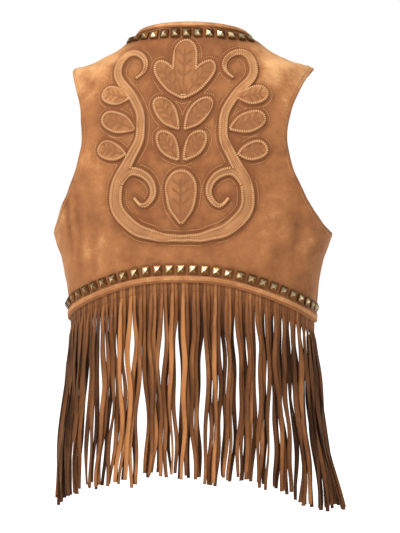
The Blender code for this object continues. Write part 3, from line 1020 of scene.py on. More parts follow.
@dataclass(frozen=True)
class WaxedThread:
    """Twisted polyester sewing thread with a little wax: pale, with a soft gloss on each stitch.

    The plies are drawn coarser than real ones, as coarse as they need to show.
    """

    name: str = "Waxed thread"
    colour: str = "C08F60"
    shadow: str = "A67648"
    ply_mm: float = 0.7

    def build(self) -> bpy.types.Material:
        """Makes the material, with the thread's plies drawn as fine waves."""
        material, tree, shader = new_material(self.name)
        place = add_node(tree, "ShaderNodeTexCoord").outputs["Object"]
        plies = add_node(
            tree,
            "ShaderNodeTexWave",
            {"Vector": place, "Scale": 0.5 / (self.ply_mm * MM), "Distortion": 2.0},
            bands_direction="DIAGONAL",
        )
        ramp = add_node(tree, "ShaderNodeValToRGB", {"Fac": plies.outputs["Fac"]})
        set_ramp(ramp, ((0.0, self.shadow), (1.0, self.colour)))
        set_inputs(tree, shader, {"Base Color": ramp.outputs["Color"], "Roughness": 0.6})
        return material


# Meshes


def mesh_object(
    name: str,
    points: Array,
    faces: Sequence[Sequence[int]],
    material: bpy.types.Material,
    attributes: dict[str, Array] | None = None,
) -> bpy.types.Object:
    """Makes a smooth mesh object at the origin, with its normals turned outwards.

    Args:
        name: the piece's name.
        points: its vertices.
        faces: vertex numbers of each face.
        material: its material.
        attributes: a value for each vertex, by attribute name.

    Returns:
        The object, linked into the scene.
    """
    mesh = bpy.data.meshes.new(name)
    mesh.from_pydata(np.asarray(points).tolist(), [], faces)
    for key, values in (attributes or {}).items():
        layer = mesh.attributes.new(key, "FLOAT", "POINT")
        layer.data.foreach_set("value", np.asarray(values, np.float32))
    work = bmesh.new()
    work.from_mesh(mesh)
    bmesh.ops.recalc_face_normals(work, faces=work.faces)
    work.to_mesh(mesh)
    work.free()
    mesh.materials.append(material)
    mesh.shade_smooth()
    made = bpy.data.objects.new(name, mesh)
    bpy.context.scene.collection.objects.link(made)
    return made


def wall_faces(rows: int, columns: int, step: int) -> list[tuple[int, ...]]:
    """Faces of a closed wall: a fine outer grid, an inner grid of every few lines, and the rim.

    Args:
        rows: spaces between the outer grid's rows.
        columns: spaces between its columns.
        step: how many of its lines make one space of the inner grid.

    Returns:
        Vertex numbers, the outer grid's first.
    """
    inner_rows, inner_columns = rows // step, columns // step
    outer_count = (rows + 1) * (columns + 1)

    def outer(r: int, c: int) -> int:
        """Number of an outer vertex."""
        return r * (columns + 1) + c

    def inner(r: int, c: int) -> int:
        """Number of an inner vertex."""
        return outer_count + r * (inner_columns + 1) + c

    faces: list[tuple[int, ...]] = []
    for r in range(rows):
        for c in range(columns):
            faces.append((outer(r, c), outer(r, c + 1), outer(r + 1, c + 1), outer(r + 1, c)))
    for r in range(inner_rows):
        for c in range(inner_columns):
            faces.append((inner(r, c), inner(r + 1, c), inner(r + 1, c + 1), inner(r, c + 1)))
    for c in range(inner_columns):
        for near, far in ((0, 0), (rows, inner_rows)):
            edge = [outer(near, c * step + k) for k in range(step + 1)]
            faces.append((*edge, inner(far, c + 1), inner(far, c)))
    for r in range(inner_rows):
        for near, far in ((0, 0), (columns, inner_columns)):
            edge = [outer(r * step + k, near) for k in range(step + 1)]
            faces.append((*edge, inner(r + 1, far), inner(r, far)))
    return faces


def from_line(points: Array, line: Array) -> Array:
    """Distance of points from a closely spaced line of points.

    Args:
        points: a grid of points.
        line: the line's points.

    Returns:
        One distance for each point of the grid.
    """
    tree = KDTree(len(line))
    for k, place in enumerate(line):
        tree.insert(Vector(place), k)
    tree.balance()
    flat = points.reshape(-1, 3)
    found = np.array([tree.find(Vector(point))[2] for point in flat])
    return found.reshape(points.shape[:-1])


def sheet_area(points: Array) -> float:
    """Area of a grid of points."""
    along = points[1:, :-1] - points[:-1, :-1]
    across = points[:-1, 1:] - points[:-1, :-1]
    return float(np.linalg.norm(np.cross(along, across), axis=-1).sum())


@dataclass
class MeshParts:
    """Points, faces and tones of a mesh that is being made."""

    points: list[Array] = field(default_factory=list)
    faces: list[tuple[int, ...]] = field(default_factory=list)
    shade: list[float] = field(default_factory=list)

    def add_tube(self, loops: Array, shade: Array) -> None:
        """Adds a closed tube.

        Args:
            loops: for each ring, the points of its loop.
            shade: the tone of each ring, or of each point of each ring.
        """
        rings, count = loops.shape[:2]
        first = len(self.points)
        self.points += list(loops.reshape(-1, 3))
        tones = shade if shade.ndim == 2 else np.repeat(shade[:, None], count, axis=1)
        self.shade += list(tones.ravel())
        for r in range(rings - 1):
            here, there = first + r * count, first + (r + 1) * count
            for k in range(count):
                after = (k + 1) % count
                self.faces.append((here + k, there + k, there + after, here + after))
        self.faces.append(tuple(first + k for k in range(count)))
        self.faces.append(tuple(first + (rings - 1) * count + k for k in range(count)))

    def build(self, name: str, material: bpy.types.Material) -> bpy.types.Object:
        """Makes the mesh's object, with its tones as the attribute shade."""
        shade = {"shade": np.array(self.shade)}
        return mesh_object(name, np.array(self.points), self.faces, material, shade)


def wall_object(
    name: str,
    grid: tuple[Array, Array],
    relief: Array,
    half: Half,
    step: int,
    suede: bpy.types.Material,
    looks: dict[str, tuple[Array, float]],
) -> bpy.types.Object:
    """Makes a panel of the vest: a worked outer face, a plain inner face and the rim between them.

    Args:
        name: the piece's name.
        grid: angles and heights of the panel's outer grid.
        relief: how far the outer face stands out of the form.
        half: the half that the panel belongs to.
        step: how many lines of the outer grid make one space of the inner one.
        suede: its material.
        looks: by attribute name, the values outside and the one value inside.

    Returns:
        The panel's object.
    """
    angle, z = grid
    outer = VEST.cloth(angle, z, relief, half)
    inner = VEST.cloth(angle, z, -WALL, half)[::step, ::step]
    inside_count = inner.shape[0] * inner.shape[1]
    attributes = {
        key: np.concatenate([outside.ravel(), np.full(inside_count, inside)])
        for key, (outside, inside) in looks.items()
    }
    points = np.concatenate([outer.reshape(-1, 3), inner.reshape(-1, 3)])
    faces = wall_faces(z.shape[0] - 1, z.shape[1] - 1, step)
    return mesh_object(name, points, faces, suede, attributes)


# Panels


@dataclass(frozen=True)
class TurnedEdge:
    """A cut edge that is turned in and sewn down."""

    turn: float = 0.0068
    lift: float = 0.0006
    step_down: float = 0.0012
    stitch_in: float = 0.0054
    groove: float = 0.0004
    groove_half: float = 0.0010
    round_off: float = 0.0012
    edge_drop: float = 0.0004
    raw_shade: float = 0.60
    raw_half: float = 0.0014
    sewn_shade: float = 0.18
    sewn_half: float = 0.0012

    def height(self, away: Array) -> Array:
        """Height of the doubled cloth over the plain cloth, by distance from the edge."""
        doubled = self.lift * (1 - smooth_step(self.turn, self.turn + self.step_down, away))
        sewn = self.groove * bell(away, self.stitch_in, self.groove_half)
        rolled = (self.lift + self.edge_drop) * (1 - smooth_step(0, self.round_off, away))
        return doubled - sewn - rolled

    def shadow(self, away: Array) -> Array:
        """How dark the cloth is at its edge and along the stitches, by distance from the edge."""
        edge_darkening = self.raw_shade * bell(away, 0.0, self.raw_half)
        return edge_darkening + self.sewn_shade * bell(away, self.stitch_in, self.sewn_half)


@dataclass(frozen=True)
class PaintedBackLight:
    """How light the back is: painted light on the shoulders and left side, painted shade on the right
    side, darker down the middle and under the neck.
    """

    shoulder_light: float = 0.62
    right_shoulder_light: float = 0.10
    shoulder_x: Span = (0.05, 0.12)
    shoulder_z: Span = (-0.10, -0.015)
    side: float = 0.14
    right_side: float = -0.24
    side_x: Span = (0.13, 0.19)
    right_x: Span = (0.02, -0.02)
    middle: float = 0.14
    middle_half_x: float = 0.075
    middle_z: Span = (-0.01, -0.06)
    neck: float = 0.20
    neck_half_x: float = 0.06
    neck_z: float = 0.005
    neck_half_z: float = 0.03

    def at(self, x: Array, z: Array) -> Array:
        """Tones at places on the back, mostly painted light and shade, with 0 for the plain suede."""
        right = smooth_step(*self.right_x, x)
        shoulder_light = smooth_step(*self.shoulder_z, z) * smooth_step(*self.shoulder_x, np.abs(x))
        side = smooth_step(*self.side_x, np.abs(x))
        middle = self.middle * bell(x, 0.0, self.middle_half_x) * smooth_step(*self.middle_z, z)
        neck = self.neck * bell(x, 0.0, self.neck_half_x) * bell(z, self.neck_z, self.neck_half_z)
        # painted light on both shoulders and the left side, painted shade on the right side
        pale = (self.shoulder_light + self.right_shoulder_light * right) * shoulder_light
        return pale + (self.side + self.right_side * right) * side - middle - neck


@dataclass
class BackPanel:
    """The back, in one piece from side seam to side seam, with the raised ornament."""

    rows: int = 270
    half_columns: int = 144
    neck_half_columns: int = 87
    centre_crowding: float = 0.60
    fan_start: float = 0.5
    inside_step: int = 6
    flat_width: float = 0.53
    flat_length: float = 0.42
    long_slack: float = 0.0004
    long_waves: tuple[Wave, Wave] = (Wave(0.083, 0.061, 1.3), Wave(0.057, -0.094))
    short_slack: float = 0.0003
    short_waves: tuple[Wave, Wave] = (Wave(0.031, 0.052, 0.4), Wave(math.inf, 0.043))
    seat_half: float = 0.0066
    seat_shade: float = 0.75
    area: float = field(default=0.0, init=False)

    def grid(self) -> tuple[Array, Array]:
        """Angles and heights of the panel's grid, from hem to shoulder and from side to side."""
        s = np.linspace(-1, 1, 2 * self.half_columns + 1)
        neck_share = self.neck_half_columns / self.half_columns
        low = s * (self.centre_crowding + (1 - self.centre_crowding) * s * s)
        top = np.clip(s / neck_share, -1, 1)
        beyond = np.clip((np.abs(s) - neck_share) / (1 - neck_share), 0, 1)
        z_top = np.where(beyond > 0, CUT.shoulder_z(beyond), CUT.rim_z(top))
        z_low = CUT.hem_z(low)
        side_z = CUT.rows_along(CUT.back_side, CUT.hem_side_z, CUT.tip_z, self.rows)
        centre_z = CUT.rows_along(np.zeros_like, CUT.hem_centre_z, CUT.neck_centre_z, self.rows)
        side_share = ((side_z - CUT.hem_side_z) / (CUT.tip_z - CUT.hem_side_z))[:, None]
        centre_share = (centre_z - CUT.hem_centre_z) / (CUT.neck_centre_z - CUT.hem_centre_z)
        share = centre_share[:, None] + (side_share - centre_share[:, None]) * s * s
        fan = smooth_step(self.fan_start, 1.0, side_share)
        angle = CUT.back_side(side_z)[:, None] * ((1 - fan) * low + fan * top)
        return angle, z_low + (z_top - z_low) * share

    @staticmethod
    def armhole(hand: int, spaces: int = 300) -> tuple[Array, Array]:
        """Angles and heights along an armhole edge, from the underarm up."""
        z = CUT.rows_along(CUT.back_side, CUT.underarm_z, CUT.tip_z, spaces)
        return hand * CUT.back_side(z), z

    @staticmethod
    def seam(hand: int, z_low: float, z_high: float, count: int = 300) -> Array:
        """Points along a side or a shoulder seam."""
        z = np.linspace(z_low, z_high, count)
        return VEST.point(np.full(count, hand * SIDE_ANGLE), z)

    def slack(self, x: Array, z: Array) -> Array:
        """Shallow waves, where the soft suede doesn't lie quite flat."""
        first, second = (wave.at(x, z) for wave in self.long_waves)
        across, up = (wave.at(x, z) for wave in self.short_waves)
        return self.long_slack * (first + second) + self.short_slack * (across * up)

    def build(self, suede: bpy.types.Material, ornament: Ornament) -> bpy.types.Object:
        """Makes the panel.

        Args:
            suede: its material.
            ornament: the raised work on it.

        Returns:
            The panel's object.
        """
        angle, z = self.grid()
        plain = VEST.point(angle, z)
        x = plain[..., 0]
        turned = TurnedEdge()
        edge = ornament.edge(x, z)
        vein = ornament.vein(x, z)
        armholes = np.concatenate([VEST.point(*self.armhole(hand)) for hand in HANDS])
        from_armhole = from_line(plain, armholes)
        seams = np.concatenate(
            [self.seam(hand, CUT.hem_side_z, CUT.underarm_z) for hand in HANDS]
            + [self.seam(hand, CUT.tip_z, CUT.neck_point_z) for hand in HANDS]
        )
        relief = ornament.height(edge) - ornament.vein_depth * vein + self.slack(x, z)
        relief = relief + turned.height(from_armhole)
        relief = relief - SEAM_DEPTH * bell(from_line(plain, seams), 0.0, SEAM_HALF)
        creased = sum(crease.depth * crease.share(x, z) for crease in BACK_CREASES)
        share = angle / SIDE_ANGLE
        seats = bell(z, CUT.hem_studs_z(share), self.seat_half)
        seats = seats + bell(z, CUT.neck_studs_z(share), self.seat_half)
        # painted light and shade on the back, and painted shade in the ornament's grooves and in the
        # creases
        shade = PaintedBackLight().at(x, z) - ornament.shadow(edge, vein) - CREASE_SHADE * creased
        shade = shade - self.seat_shade * seats - turned.shadow(from_armhole)
        made = wall_object(
            "back_panel",
            (angle, z),
            relief - creased,
            Half.BACK,
            self.inside_step,
            suede,
            {"shade": (shade, INSIDE_SHADE), "rib": (ornament.rib(x, z, edge), 0.0)},
        )
        self.area = sheet_area(plain)
        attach(made, BODY)
        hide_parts("back")
        return made


@dataclass
class FrontPanel:
    """One plain front, with its neckline, open edge, hem and armhole turned and sewn."""

    hand: int
    rows: int = 160
    columns: int = 80
    inside_step: int = 4
    flat_width: float = 0.26
    flat_length: float = 0.42
    shoulder_light: float = 0.35
    shoulder_z: Span = (-0.10, -0.01)
    area: float = field(default=0.0, init=False)

    @property
    def name(self) -> str:
        """The CAD node that this front stands for."""
        return "front_left" if self.hand > 0 else "front_right"

    @staticmethod
    def underarm_row(z: Array) -> int:
        """Number of the grid's row at the foot of the armhole."""
        return int(np.argmin(np.abs(z[:, 0] - CUT.underarm_z)))

    def grid(self) -> tuple[Array, Array]:
        """Angles and heights of the panel's grid, from hem to shoulder and from side to open edge."""
        s = np.linspace(0, 1, self.columns + 1)
        side_z = CUT.rows_along(CUT.front_side, CUT.hem_side_z, CUT.tip_z, self.rows)
        edge_z = CUT.rows_along(CUT.front_edge, CUT.hem_centre_z, CUT.neck_point_z, self.rows)
        side_share = ((side_z - CUT.hem_side_z) / (CUT.tip_z - CUT.hem_side_z))[:, None]
        edge_share = (edge_z - CUT.hem_centre_z) / (CUT.neck_point_z - CUT.hem_centre_z)
        share = side_share + (edge_share[:, None] - side_share) * s
        z_low = CUT.hem_z(1 - s)
        z_top = CUT.shoulder_z(1 - s)
        side = CUT.front_side(side_z)[:, None]
        edge = CUT.front_edge(edge_z)[:, None]
        return self.hand * (side + (edge - side) * s), z_low + (z_top - z_low) * share

    def build(self, suede: bpy.types.Material) -> bpy.types.Object:
        """Makes the panel.

        Args:
            suede: its material.

        Returns:
            The panel's object.
        """
        angle, z = self.grid()
        plain = VEST.point(angle, z)
        underarm = self.underarm_row(z)
        open_edges = np.concatenate([plain[underarm:, 0], plain[:, -1], plain[0]])
        seams = np.concatenate([plain[: underarm + 1, 0], plain[-1]])
        relief = TurnedEdge().height(from_line(plain, open_edges))
        relief = relief - SEAM_DEPTH * bell(from_line(plain, seams), 0.0, SEAM_HALF)
        aside = self.hand * plain[..., 0]
        creased = sum(crease.depth * crease.share(aside, z) for crease in FRONT_CREASES)
        # painted light towards the shoulders, and painted shade in the creases
        shade = self.shoulder_light * smooth_step(*self.shoulder_z, z) - CREASE_SHADE * creased
        made = wall_object(
            self.name + "_panel",
            (angle, z),
            relief - creased,
            Half.FRONT,
            self.inside_step,
            suede,
            {"shade": (shade, INSIDE_SHADE)},
        )
        self.area = sheet_area(plain)
        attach(made, BODY)
        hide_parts(self.name)
        return made


# Bands


@dataclass
class EdgeBand:
    """A band of suede that is folded over an edge of the back and sewn on."""

    name: str
    node: str
    columns: int = 280
    gap: float = 0.0003
    thickness: float = 0.0015
    edge_lift: float = 0.0002
    arc_points: int = 17
    tone: float = 0.30
    edge_shade: float = 0.5
    sewn_at: float = 0.24
    sewn_half: float = 0.09
    sewn_shade: float = 0.75
    fold_half: float = 0.10
    fold_shade: float = 0.6
    behind_tone: float = -0.4

    def build(
        self,
        low_z: Callable[[Array], Array],
        high_z: Callable[[Array], Array],
        suede: bpy.types.Material,
    ) -> bpy.types.Object:
        """Makes the band, with a rolled face.

        Args:
            low_z: gives the height of its lower edge at a share of the way to its end.
            high_z: gives the height of its upper edge.
            suede: its material.

        Returns:
            The band's object.
        """
        share = np.linspace(-1, 1, self.columns + 1)
        angle, low, high = SIDE_ANGLE * share, low_z(share), high_z(share)
        turn = np.linspace(0, 1, self.arc_points)
        from_middle = 2 * turn - 1
        bulge = self.gap + self.thickness * (1 - from_middle**4) ** 0.5
        bulge[0] = bulge[-1] = self.gap + self.edge_lift
        rings = [VEST.cloth(angle, low + (high - low) * t, b, Half.BACK) for t, b in zip(turn, bulge)]
        rings += [VEST.cloth(angle, z, self.gap, Half.BACK) for z in (high, low)]
        face = self.tone - self.edge_shade * from_middle**6
        face = face - self.sewn_shade * bell(turn, self.sewn_at, self.sewn_half)
        face = face - self.fold_shade * bell(turn, 0.0, self.fold_half)
        around = np.concatenate([face, [self.behind_tone, self.behind_tone]])
        parts = MeshParts()
        parts.add_tube(np.stack(rings, axis=1), np.tile(around, (len(angle), 1)))
        made = parts.build(self.name, suede)
        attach(made, BODY)
        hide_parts(self.node)
        return made


# Sewing and studs


def laying_tree(
    name: str, sockets: dict[str, str]
) -> tuple[bpy.types.GeometryNodeTree, bpy.types.Node, bpy.types.Node]:
    """Node tree that lays one thing on each point, turned to the point's own directions.

    Args:
        name: the tree's name.
        sockets: socket types of the inputs that shape the thing, by input name.

    Returns:
        The tree, its input node, and the node that lays the things and still needs one to lay.
    """
    tree = bpy.data.node_groups.new(name, "GeometryNodeTree")
    inputs = {"Geometry": "NodeSocketGeometry", **sockets, "Material": "NodeSocketMaterial"}
    for socket, kind in inputs.items():
        tree.interface.new_socket(socket, in_out="INPUT", socket_type=kind)
    tree.interface.new_socket("Geometry", in_out="OUTPUT", socket_type="NodeSocketGeometry")
    given = add_node(tree, "NodeGroupInput")
    along, out = (
        add_node(tree, "GeometryNodeInputNamedAttribute", {"Name": key}, data_type="FLOAT_VECTOR")
        for key in ("along", "out")
    )
    turn = add_node(
        tree,
        "FunctionNodeAxesToRotation",
        {"Primary Axis": out.outputs["Attribute"], "Secondary Axis": along.outputs["Attribute"]},
        primary_axis="Z",
        secondary_axis="X",
    )
    laid = add_node(
        tree,
        "GeometryNodeInstanceOnPoints",
        {"Points": given.outputs["Geometry"], "Rotation": turn.outputs["Rotation"]},
    )
    real = add_node(tree, "GeometryNodeRealizeInstances", {"Geometry": laid.outputs["Instances"]})
    dressed = add_node(
        tree,
        "GeometryNodeSetMaterial",
        {"Geometry": real.outputs[0], "Material": given.outputs["Material"]},
    )
    add_node(tree, "NodeGroupOutput", {"Geometry": dressed.outputs[0]})
    return tree, given, laid


def sewing_tree() -> bpy.types.GeometryNodeTree:
    """Node tree that lays one stitch on each point, with the stitch's sizes and material as inputs."""
    sizes = ("Stitch Length", "Stitch Width", "Stitch Height")
    tree, given, laid = laying_tree("Sewn stitches", dict.fromkeys(sizes, "NodeSocketFloat"))
    stitch = add_node(tree, "GeometryNodeMeshUVSphere", {"Segments": 6, "Rings": 4, "Radius": 0.5})
    size = add_node(
        tree,
        "ShaderNodeCombineXYZ",
        {axis: given.outputs[name] for axis, name in zip("XYZ", sizes)},
    )
    set_inputs(tree, laid, {"Instance": stitch.outputs["Mesh"], "Scale": size.outputs["Vector"]})
    return tree


def stud_tree() -> bpy.types.GeometryNodeTree:
    """Node tree that sets one stud on each point, with the stud's shape and material as inputs."""
    tree, given, laid = laying_tree("Set studs", {"Stud Shape": "NodeSocketObject"})
    shape = add_node(tree, "GeometryNodeObjectInfo", {"Object": given.outputs["Stud Shape"]})
    set_inputs(tree, laid, {"Instance": shape.outputs["Geometry"]})
    return tree


def grow(
    name: str, tree: bpy.types.GeometryNodeTree, places: Places, values: dict[str, object]
) -> bpy.types.Object:
    """Runs a node tree on a set of points and keeps the plain mesh that it makes.

    Args:
        name: the piece's name.
        tree: the node tree.
        places: the points, and the along and out directions at each.
        values: the tree's inputs, by name.

    Returns:
        The finished object.
    """
    points, along, out = places
    mesh = bpy.data.meshes.new(name + "_points")
    mesh.from_pydata(points.tolist(), [], [])
    for key, vectors in (("along", along), ("out", out)):
        layer = mesh.attributes.new(key, "FLOAT_VECTOR", "POINT")
        layer.data.foreach_set("vector", np.asarray(vectors, np.float32).ravel())
    made = bpy.data.objects.new(name, mesh)
    bpy.context.scene.collection.objects.link(made)
    modifier = made.modifiers.new("Grow", "NODES")
    modifier.node_group = tree
    for item in tree.interface.items_tree:
        if item.item_type == "SOCKET" and item.in_out == "INPUT" and item.name in values:
            modifier[item.identifier] = values[item.name]
    depsgraph = bpy.context.evaluated_depsgraph_get()
    grown = bpy.data.meshes.new_from_object(made.evaluated_get(depsgraph))
    made.modifiers.remove(modifier)
    made.data = grown
    grown.name = name
    bpy.data.meshes.remove(mesh)
    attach(made, BODY)
    return made


@dataclass
class Sewing:
    """Rows of stitches that lie on the cloth."""

    thread: bpy.types.Material
    tree: bpy.types.GeometryNodeTree
    pitch: float = 0.0034
    length: float = 0.0025
    width: float = 0.0011
    height: float = 0.0010

    def row(
        self, angle: Array, z: Array, height: Array | float, half: Half, satin: bool = False
    ) -> Places:
        """Evenly spaced stitches along a line on the form.

        Args:
            angle: angles of the line's points.
            z: heights of the line's points.
            height: how far out of the form the stitches lie, for the line or for each point.
            half: the half that the line is on.
            satin: whether the stitches lie across the line, as on a cord, and not along it.

        Returns:
            Places, and the along and out directions at each.
        """
        line = VEST.cloth(angle, z, height, half)
        out = VEST.normal(angle, z)
        length = run_lengths(line)
        wanted = np.arange(self.pitch / 2, length[-1], self.pitch)
        along = unit(np.gradient(line, axis=0))
        read = [
            np.stack([np.interp(wanted, length, values[:, k]) for k in range(3)], axis=-1)
            for values in (line, along, out)
        ]
        run = np.cross(read[2], read[1]) if satin else read[1]
        return read[0], unit(run), unit(read[2])

    def build(self, name: str, rows: Sequence[Places]) -> bpy.types.Object:
        """Sews the rows as one piece.

        Args:
            name: the piece's name.
            rows: places and directions, as row() gives them.

        Returns:
            The piece.
        """
        points, along, out = (np.concatenate([row[k] for row in rows]) for k in range(3))
        values = {
            "Stitch Length": self.length,
            "Stitch Width": self.width,
            "Stitch Height": self.height,
            "Material": self.thread,
        }
        made = grow(name, self.tree, (points, along, out), values)
        return made


@dataclass
class OrnamentSewing:
    """Stitches of the ornament: beads across its cords, rows that fill its bands, and an echo row."""

    ornament: Ornament
    lift: float = 0.0001
    slack: float = 0.0005
    row_space: float = 0.0022
    rows_aside: int = 2
    clear_cords: float = 2.5
    least_points: int = 4

    def along(self, sewing: Sewing, flat: Array, clear: Array, satin: bool) -> list[Places]:
        """Rows on both halves, along the clear stretches of a flat line.

        Args:
            sewing: the stitches to use.
            flat: the line's flat points on one half.
            clear: which of them can be sewn.
            satin: whether the stitches lie across the line.

        Returns:
            The rows' places and directions.
        """
        rows = []
        stops = np.flatnonzero(np.diff(np.concatenate([[0], clear.astype(int), [0]])))
        for start, end in zip(stops[::2], stops[1::2]):
            if end - start < self.least_points:
                continue
            x, z = flat[start:end, 0], flat[start:end, 1]
            height = self.ornament.height(self.ornament.edge(x, z)) + self.lift
            for hand in HANDS:
                angle = VEST.angle_at(hand * x, z, Half.BACK)
                rows.append(sewing.row(angle, z, height, Half.BACK, satin=satin))
        return rows

    def beside_edges(self, sewing: Sewing, out: float, satin: bool) -> list[Places]:
        """Rows beside the edges of every shape, left out where one shape runs into another.

        Args:
            sewing: the stitches to use.
            out: how far outside the edges the rows run.
            satin: whether the stitches lie across the rows.

        Returns:
            The rows' places and directions.
        """
        rows = []
        for flat in self.ornament.lines_at(out):
            edge = self.ornament.edge(flat[:, 0], flat[:, 1])
            clear = (np.abs(edge - out) < self.slack) & (flat[:, 0] > -self.slack)
            rows += self.along(sewing, flat, clear, satin)
        return rows

    def edging(self, sewing: Sewing) -> list[Places]:
        """Beads across every cord."""
        return self.beside_edges(sewing, -self.ornament.cord, satin=True)

    def echo(self, sewing: Sewing) -> list[Places]:
        """A fine row that echoes the shapes from outside."""
        return self.beside_edges(sewing, self.ornament.echo, satin=False)

    def filling(self, sewing: Sewing) -> list[Places]:
        """Rows side by side along the bands, between their cords."""
        rows = []
        for band in self.ornament.bands():
            line = band[:, :2]
            for k in range(-self.rows_aside, self.rows_aside + 1):
                flat = line + k * self.row_space * self.ornament.left_of(line)
                edge = self.ornament.edge(flat[:, 0], flat[:, 1])
                clear = (edge < -self.clear_cords * self.ornament.cord) & (flat[:, 0] > -self.slack)
                rows += self.along(sewing, flat, clear, satin=False)
        return rows


@dataclass
class StudRow:
    """A row of square pyramid studs, clenched through the cloth."""

    name: str
    node: str
    pitch: float
    gap: float
    free_end: float = 0.0
    width: float = 0.012
    rim: float = 0.0012
    height: float = 0.0048
    bevel: float = 0.00045
    samples: int = 801
    patina: float = -0.15
    ridges_worn: float = 0.45
    left_wear_and_light: float = 0.95
    right_wear_and_light: float = 0.10
    upper_wear_and_light: float = 0.60
    lower_wear_and_light: float = 0.0

    def wear_and_highlight(self, place: Vector) -> float:
        """How far the patina is rubbed off a stud, most round the tip, with painted highlight on its left
        and upper faces.
        """
        # each face gets painted highlight or painted shade by the side it faces, on top of the wear
        if abs(abs(place.x) - abs(place.y)) < self.bevel / 4:
            tip = self.ridges_worn
        elif abs(place.x) > abs(place.y):
            tip = self.left_wear_and_light if place.x < 0 else self.right_wear_and_light
        else:
            tip = self.upper_wear_and_light if place.y > 0 else self.lower_wear_and_light
        risen = max(0.0, (place.z - self.rim) / (self.height - self.rim))
        return self.patina + (tip - self.patina) * risen

    def shape(self) -> bpy.types.Object:
        """One stud at the origin, with softened edges and the wear and painted highlight of each face."""
        half = self.width / 2
        corners = ((-1, -1), (1, -1), (1, 1), (-1, 1))
        base = [(half * a, half * b, 0) for a, b in corners]
        rim = [(half * a, half * b, self.rim) for a, b in corners]
        work = bmesh.new()
        verts = [work.verts.new(p) for p in base + rim + [(0, 0, self.height)]]
        work.faces.new([verts[k] for k in (3, 2, 1, 0)])
        for k in range(4):
            after = (k + 1) % 4
            work.faces.new([verts[n] for n in (k, after, 4 + after, 4 + k)])
            work.faces.new([verts[n] for n in (4 + k, 4 + after, 8)])
        sharp = [edge for edge in work.edges if max(v.co.z for v in edge.verts) > 0]
        bmesh.ops.bevel(work, geom=sharp, offset=self.bevel, segments=2, profile=0.6, affect="EDGES")
        mesh = bpy.data.meshes.new("stud_shape")
        work.to_mesh(mesh)
        work.free()
        # the wear and the painted highlight of each vertex
        layer = mesh.attributes.new("worn_and_lit", "FLOAT", "POINT")
        layer.data.foreach_set("value", [self.wear_and_highlight(vertex.co) for vertex in mesh.vertices])
        shape = bpy.data.objects.new("stud_shape", mesh)
        bpy.context.scene.collection.objects.link(shape)
        return shape

    def places(self, height: Callable[[Array], Array]) -> Places:
        """Places of the studs, evenly spaced along the row and centred on it.

        Args:
            height: gives the row's height at a share of the way to a side seam.

        Returns:
            Places, and the along and out directions at each.
        """
        share = np.linspace(-1, 1, self.samples)
        length = run_lengths(VEST.point(SIDE_ANGLE * share, height(share)))
        count = int((length[-1] - self.width - 2 * self.free_end) / self.pitch) + 1
        wanted = length[-1] / 2 + self.pitch * (np.arange(count) - (count - 1) / 2)
        placed = np.interp(wanted, length, share)
        angle, z = SIDE_ANGLE * placed, height(placed)
        out = VEST.normal(angle, z)
        step = 1e-3
        ahead = VEST.point(SIDE_ANGLE * (placed + step), height(placed + step))
        behind = VEST.point(SIDE_ANGLE * (placed - step), height(placed - step))
        return VEST.cloth(angle, z, self.gap, Half.BACK), unit(behind - ahead), out

    def build(
        self,
        height: Callable[[Array], Array],
        tree: bpy.types.GeometryNodeTree,
        brass: bpy.types.Material,
    ) -> bpy.types.Object:
        """Sets the row's studs.

        Args:
            height: gives the row's height at a share of the way to a side seam.
            tree: the node tree that sets studs.
            brass: their material.

        Returns:
            The row, as one piece.
        """
        places = self.places(height)
        shape = self.shape()
        made = grow(self.name, tree, places, {"Stud Shape": shape, "Material": brass})
        bpy.data.objects.remove(shape)
        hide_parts(*[f"{self.node}_{k:02d}" for k in range(1, len(places[0]) + 1)])
        return made


# Fringe


@dataclass(frozen=True)
class Clump:
    """A few strands that hang together: where they gather, how they wander and how long they are cut."""

    centre: float
    gathered: float
    turns: float
    phase: float
    spare: float


@dataclass(frozen=True)
class Strand:
    """One strand: its root and room on the strip, its layer, its clump, and its own wander and cut."""

    root: float
    space: float
    layer: int
    clump: Clump
    turns: float
    phase: float
    spare: float


@dataclass(frozen=True)
class RibbonPoint:
    """A point of a strand's section: its place across, its face (1 is out) and its share of the curl."""

    across: float
    face: int
    curl: float


RIBBON = (
    RibbonPoint(-1.0, 1, 1.0),
    RibbonPoint(-0.5, 1, -0.2),
    RibbonPoint(0.0, 1, -0.5),
    RibbonPoint(0.5, 1, -0.2),
    RibbonPoint(1.0, 1, 1.0),
    RibbonPoint(1.0, -1, 1.0),
    RibbonPoint(0.0, -1, -0.5),
    RibbonPoint(-1.0, -1, 1.0),
)


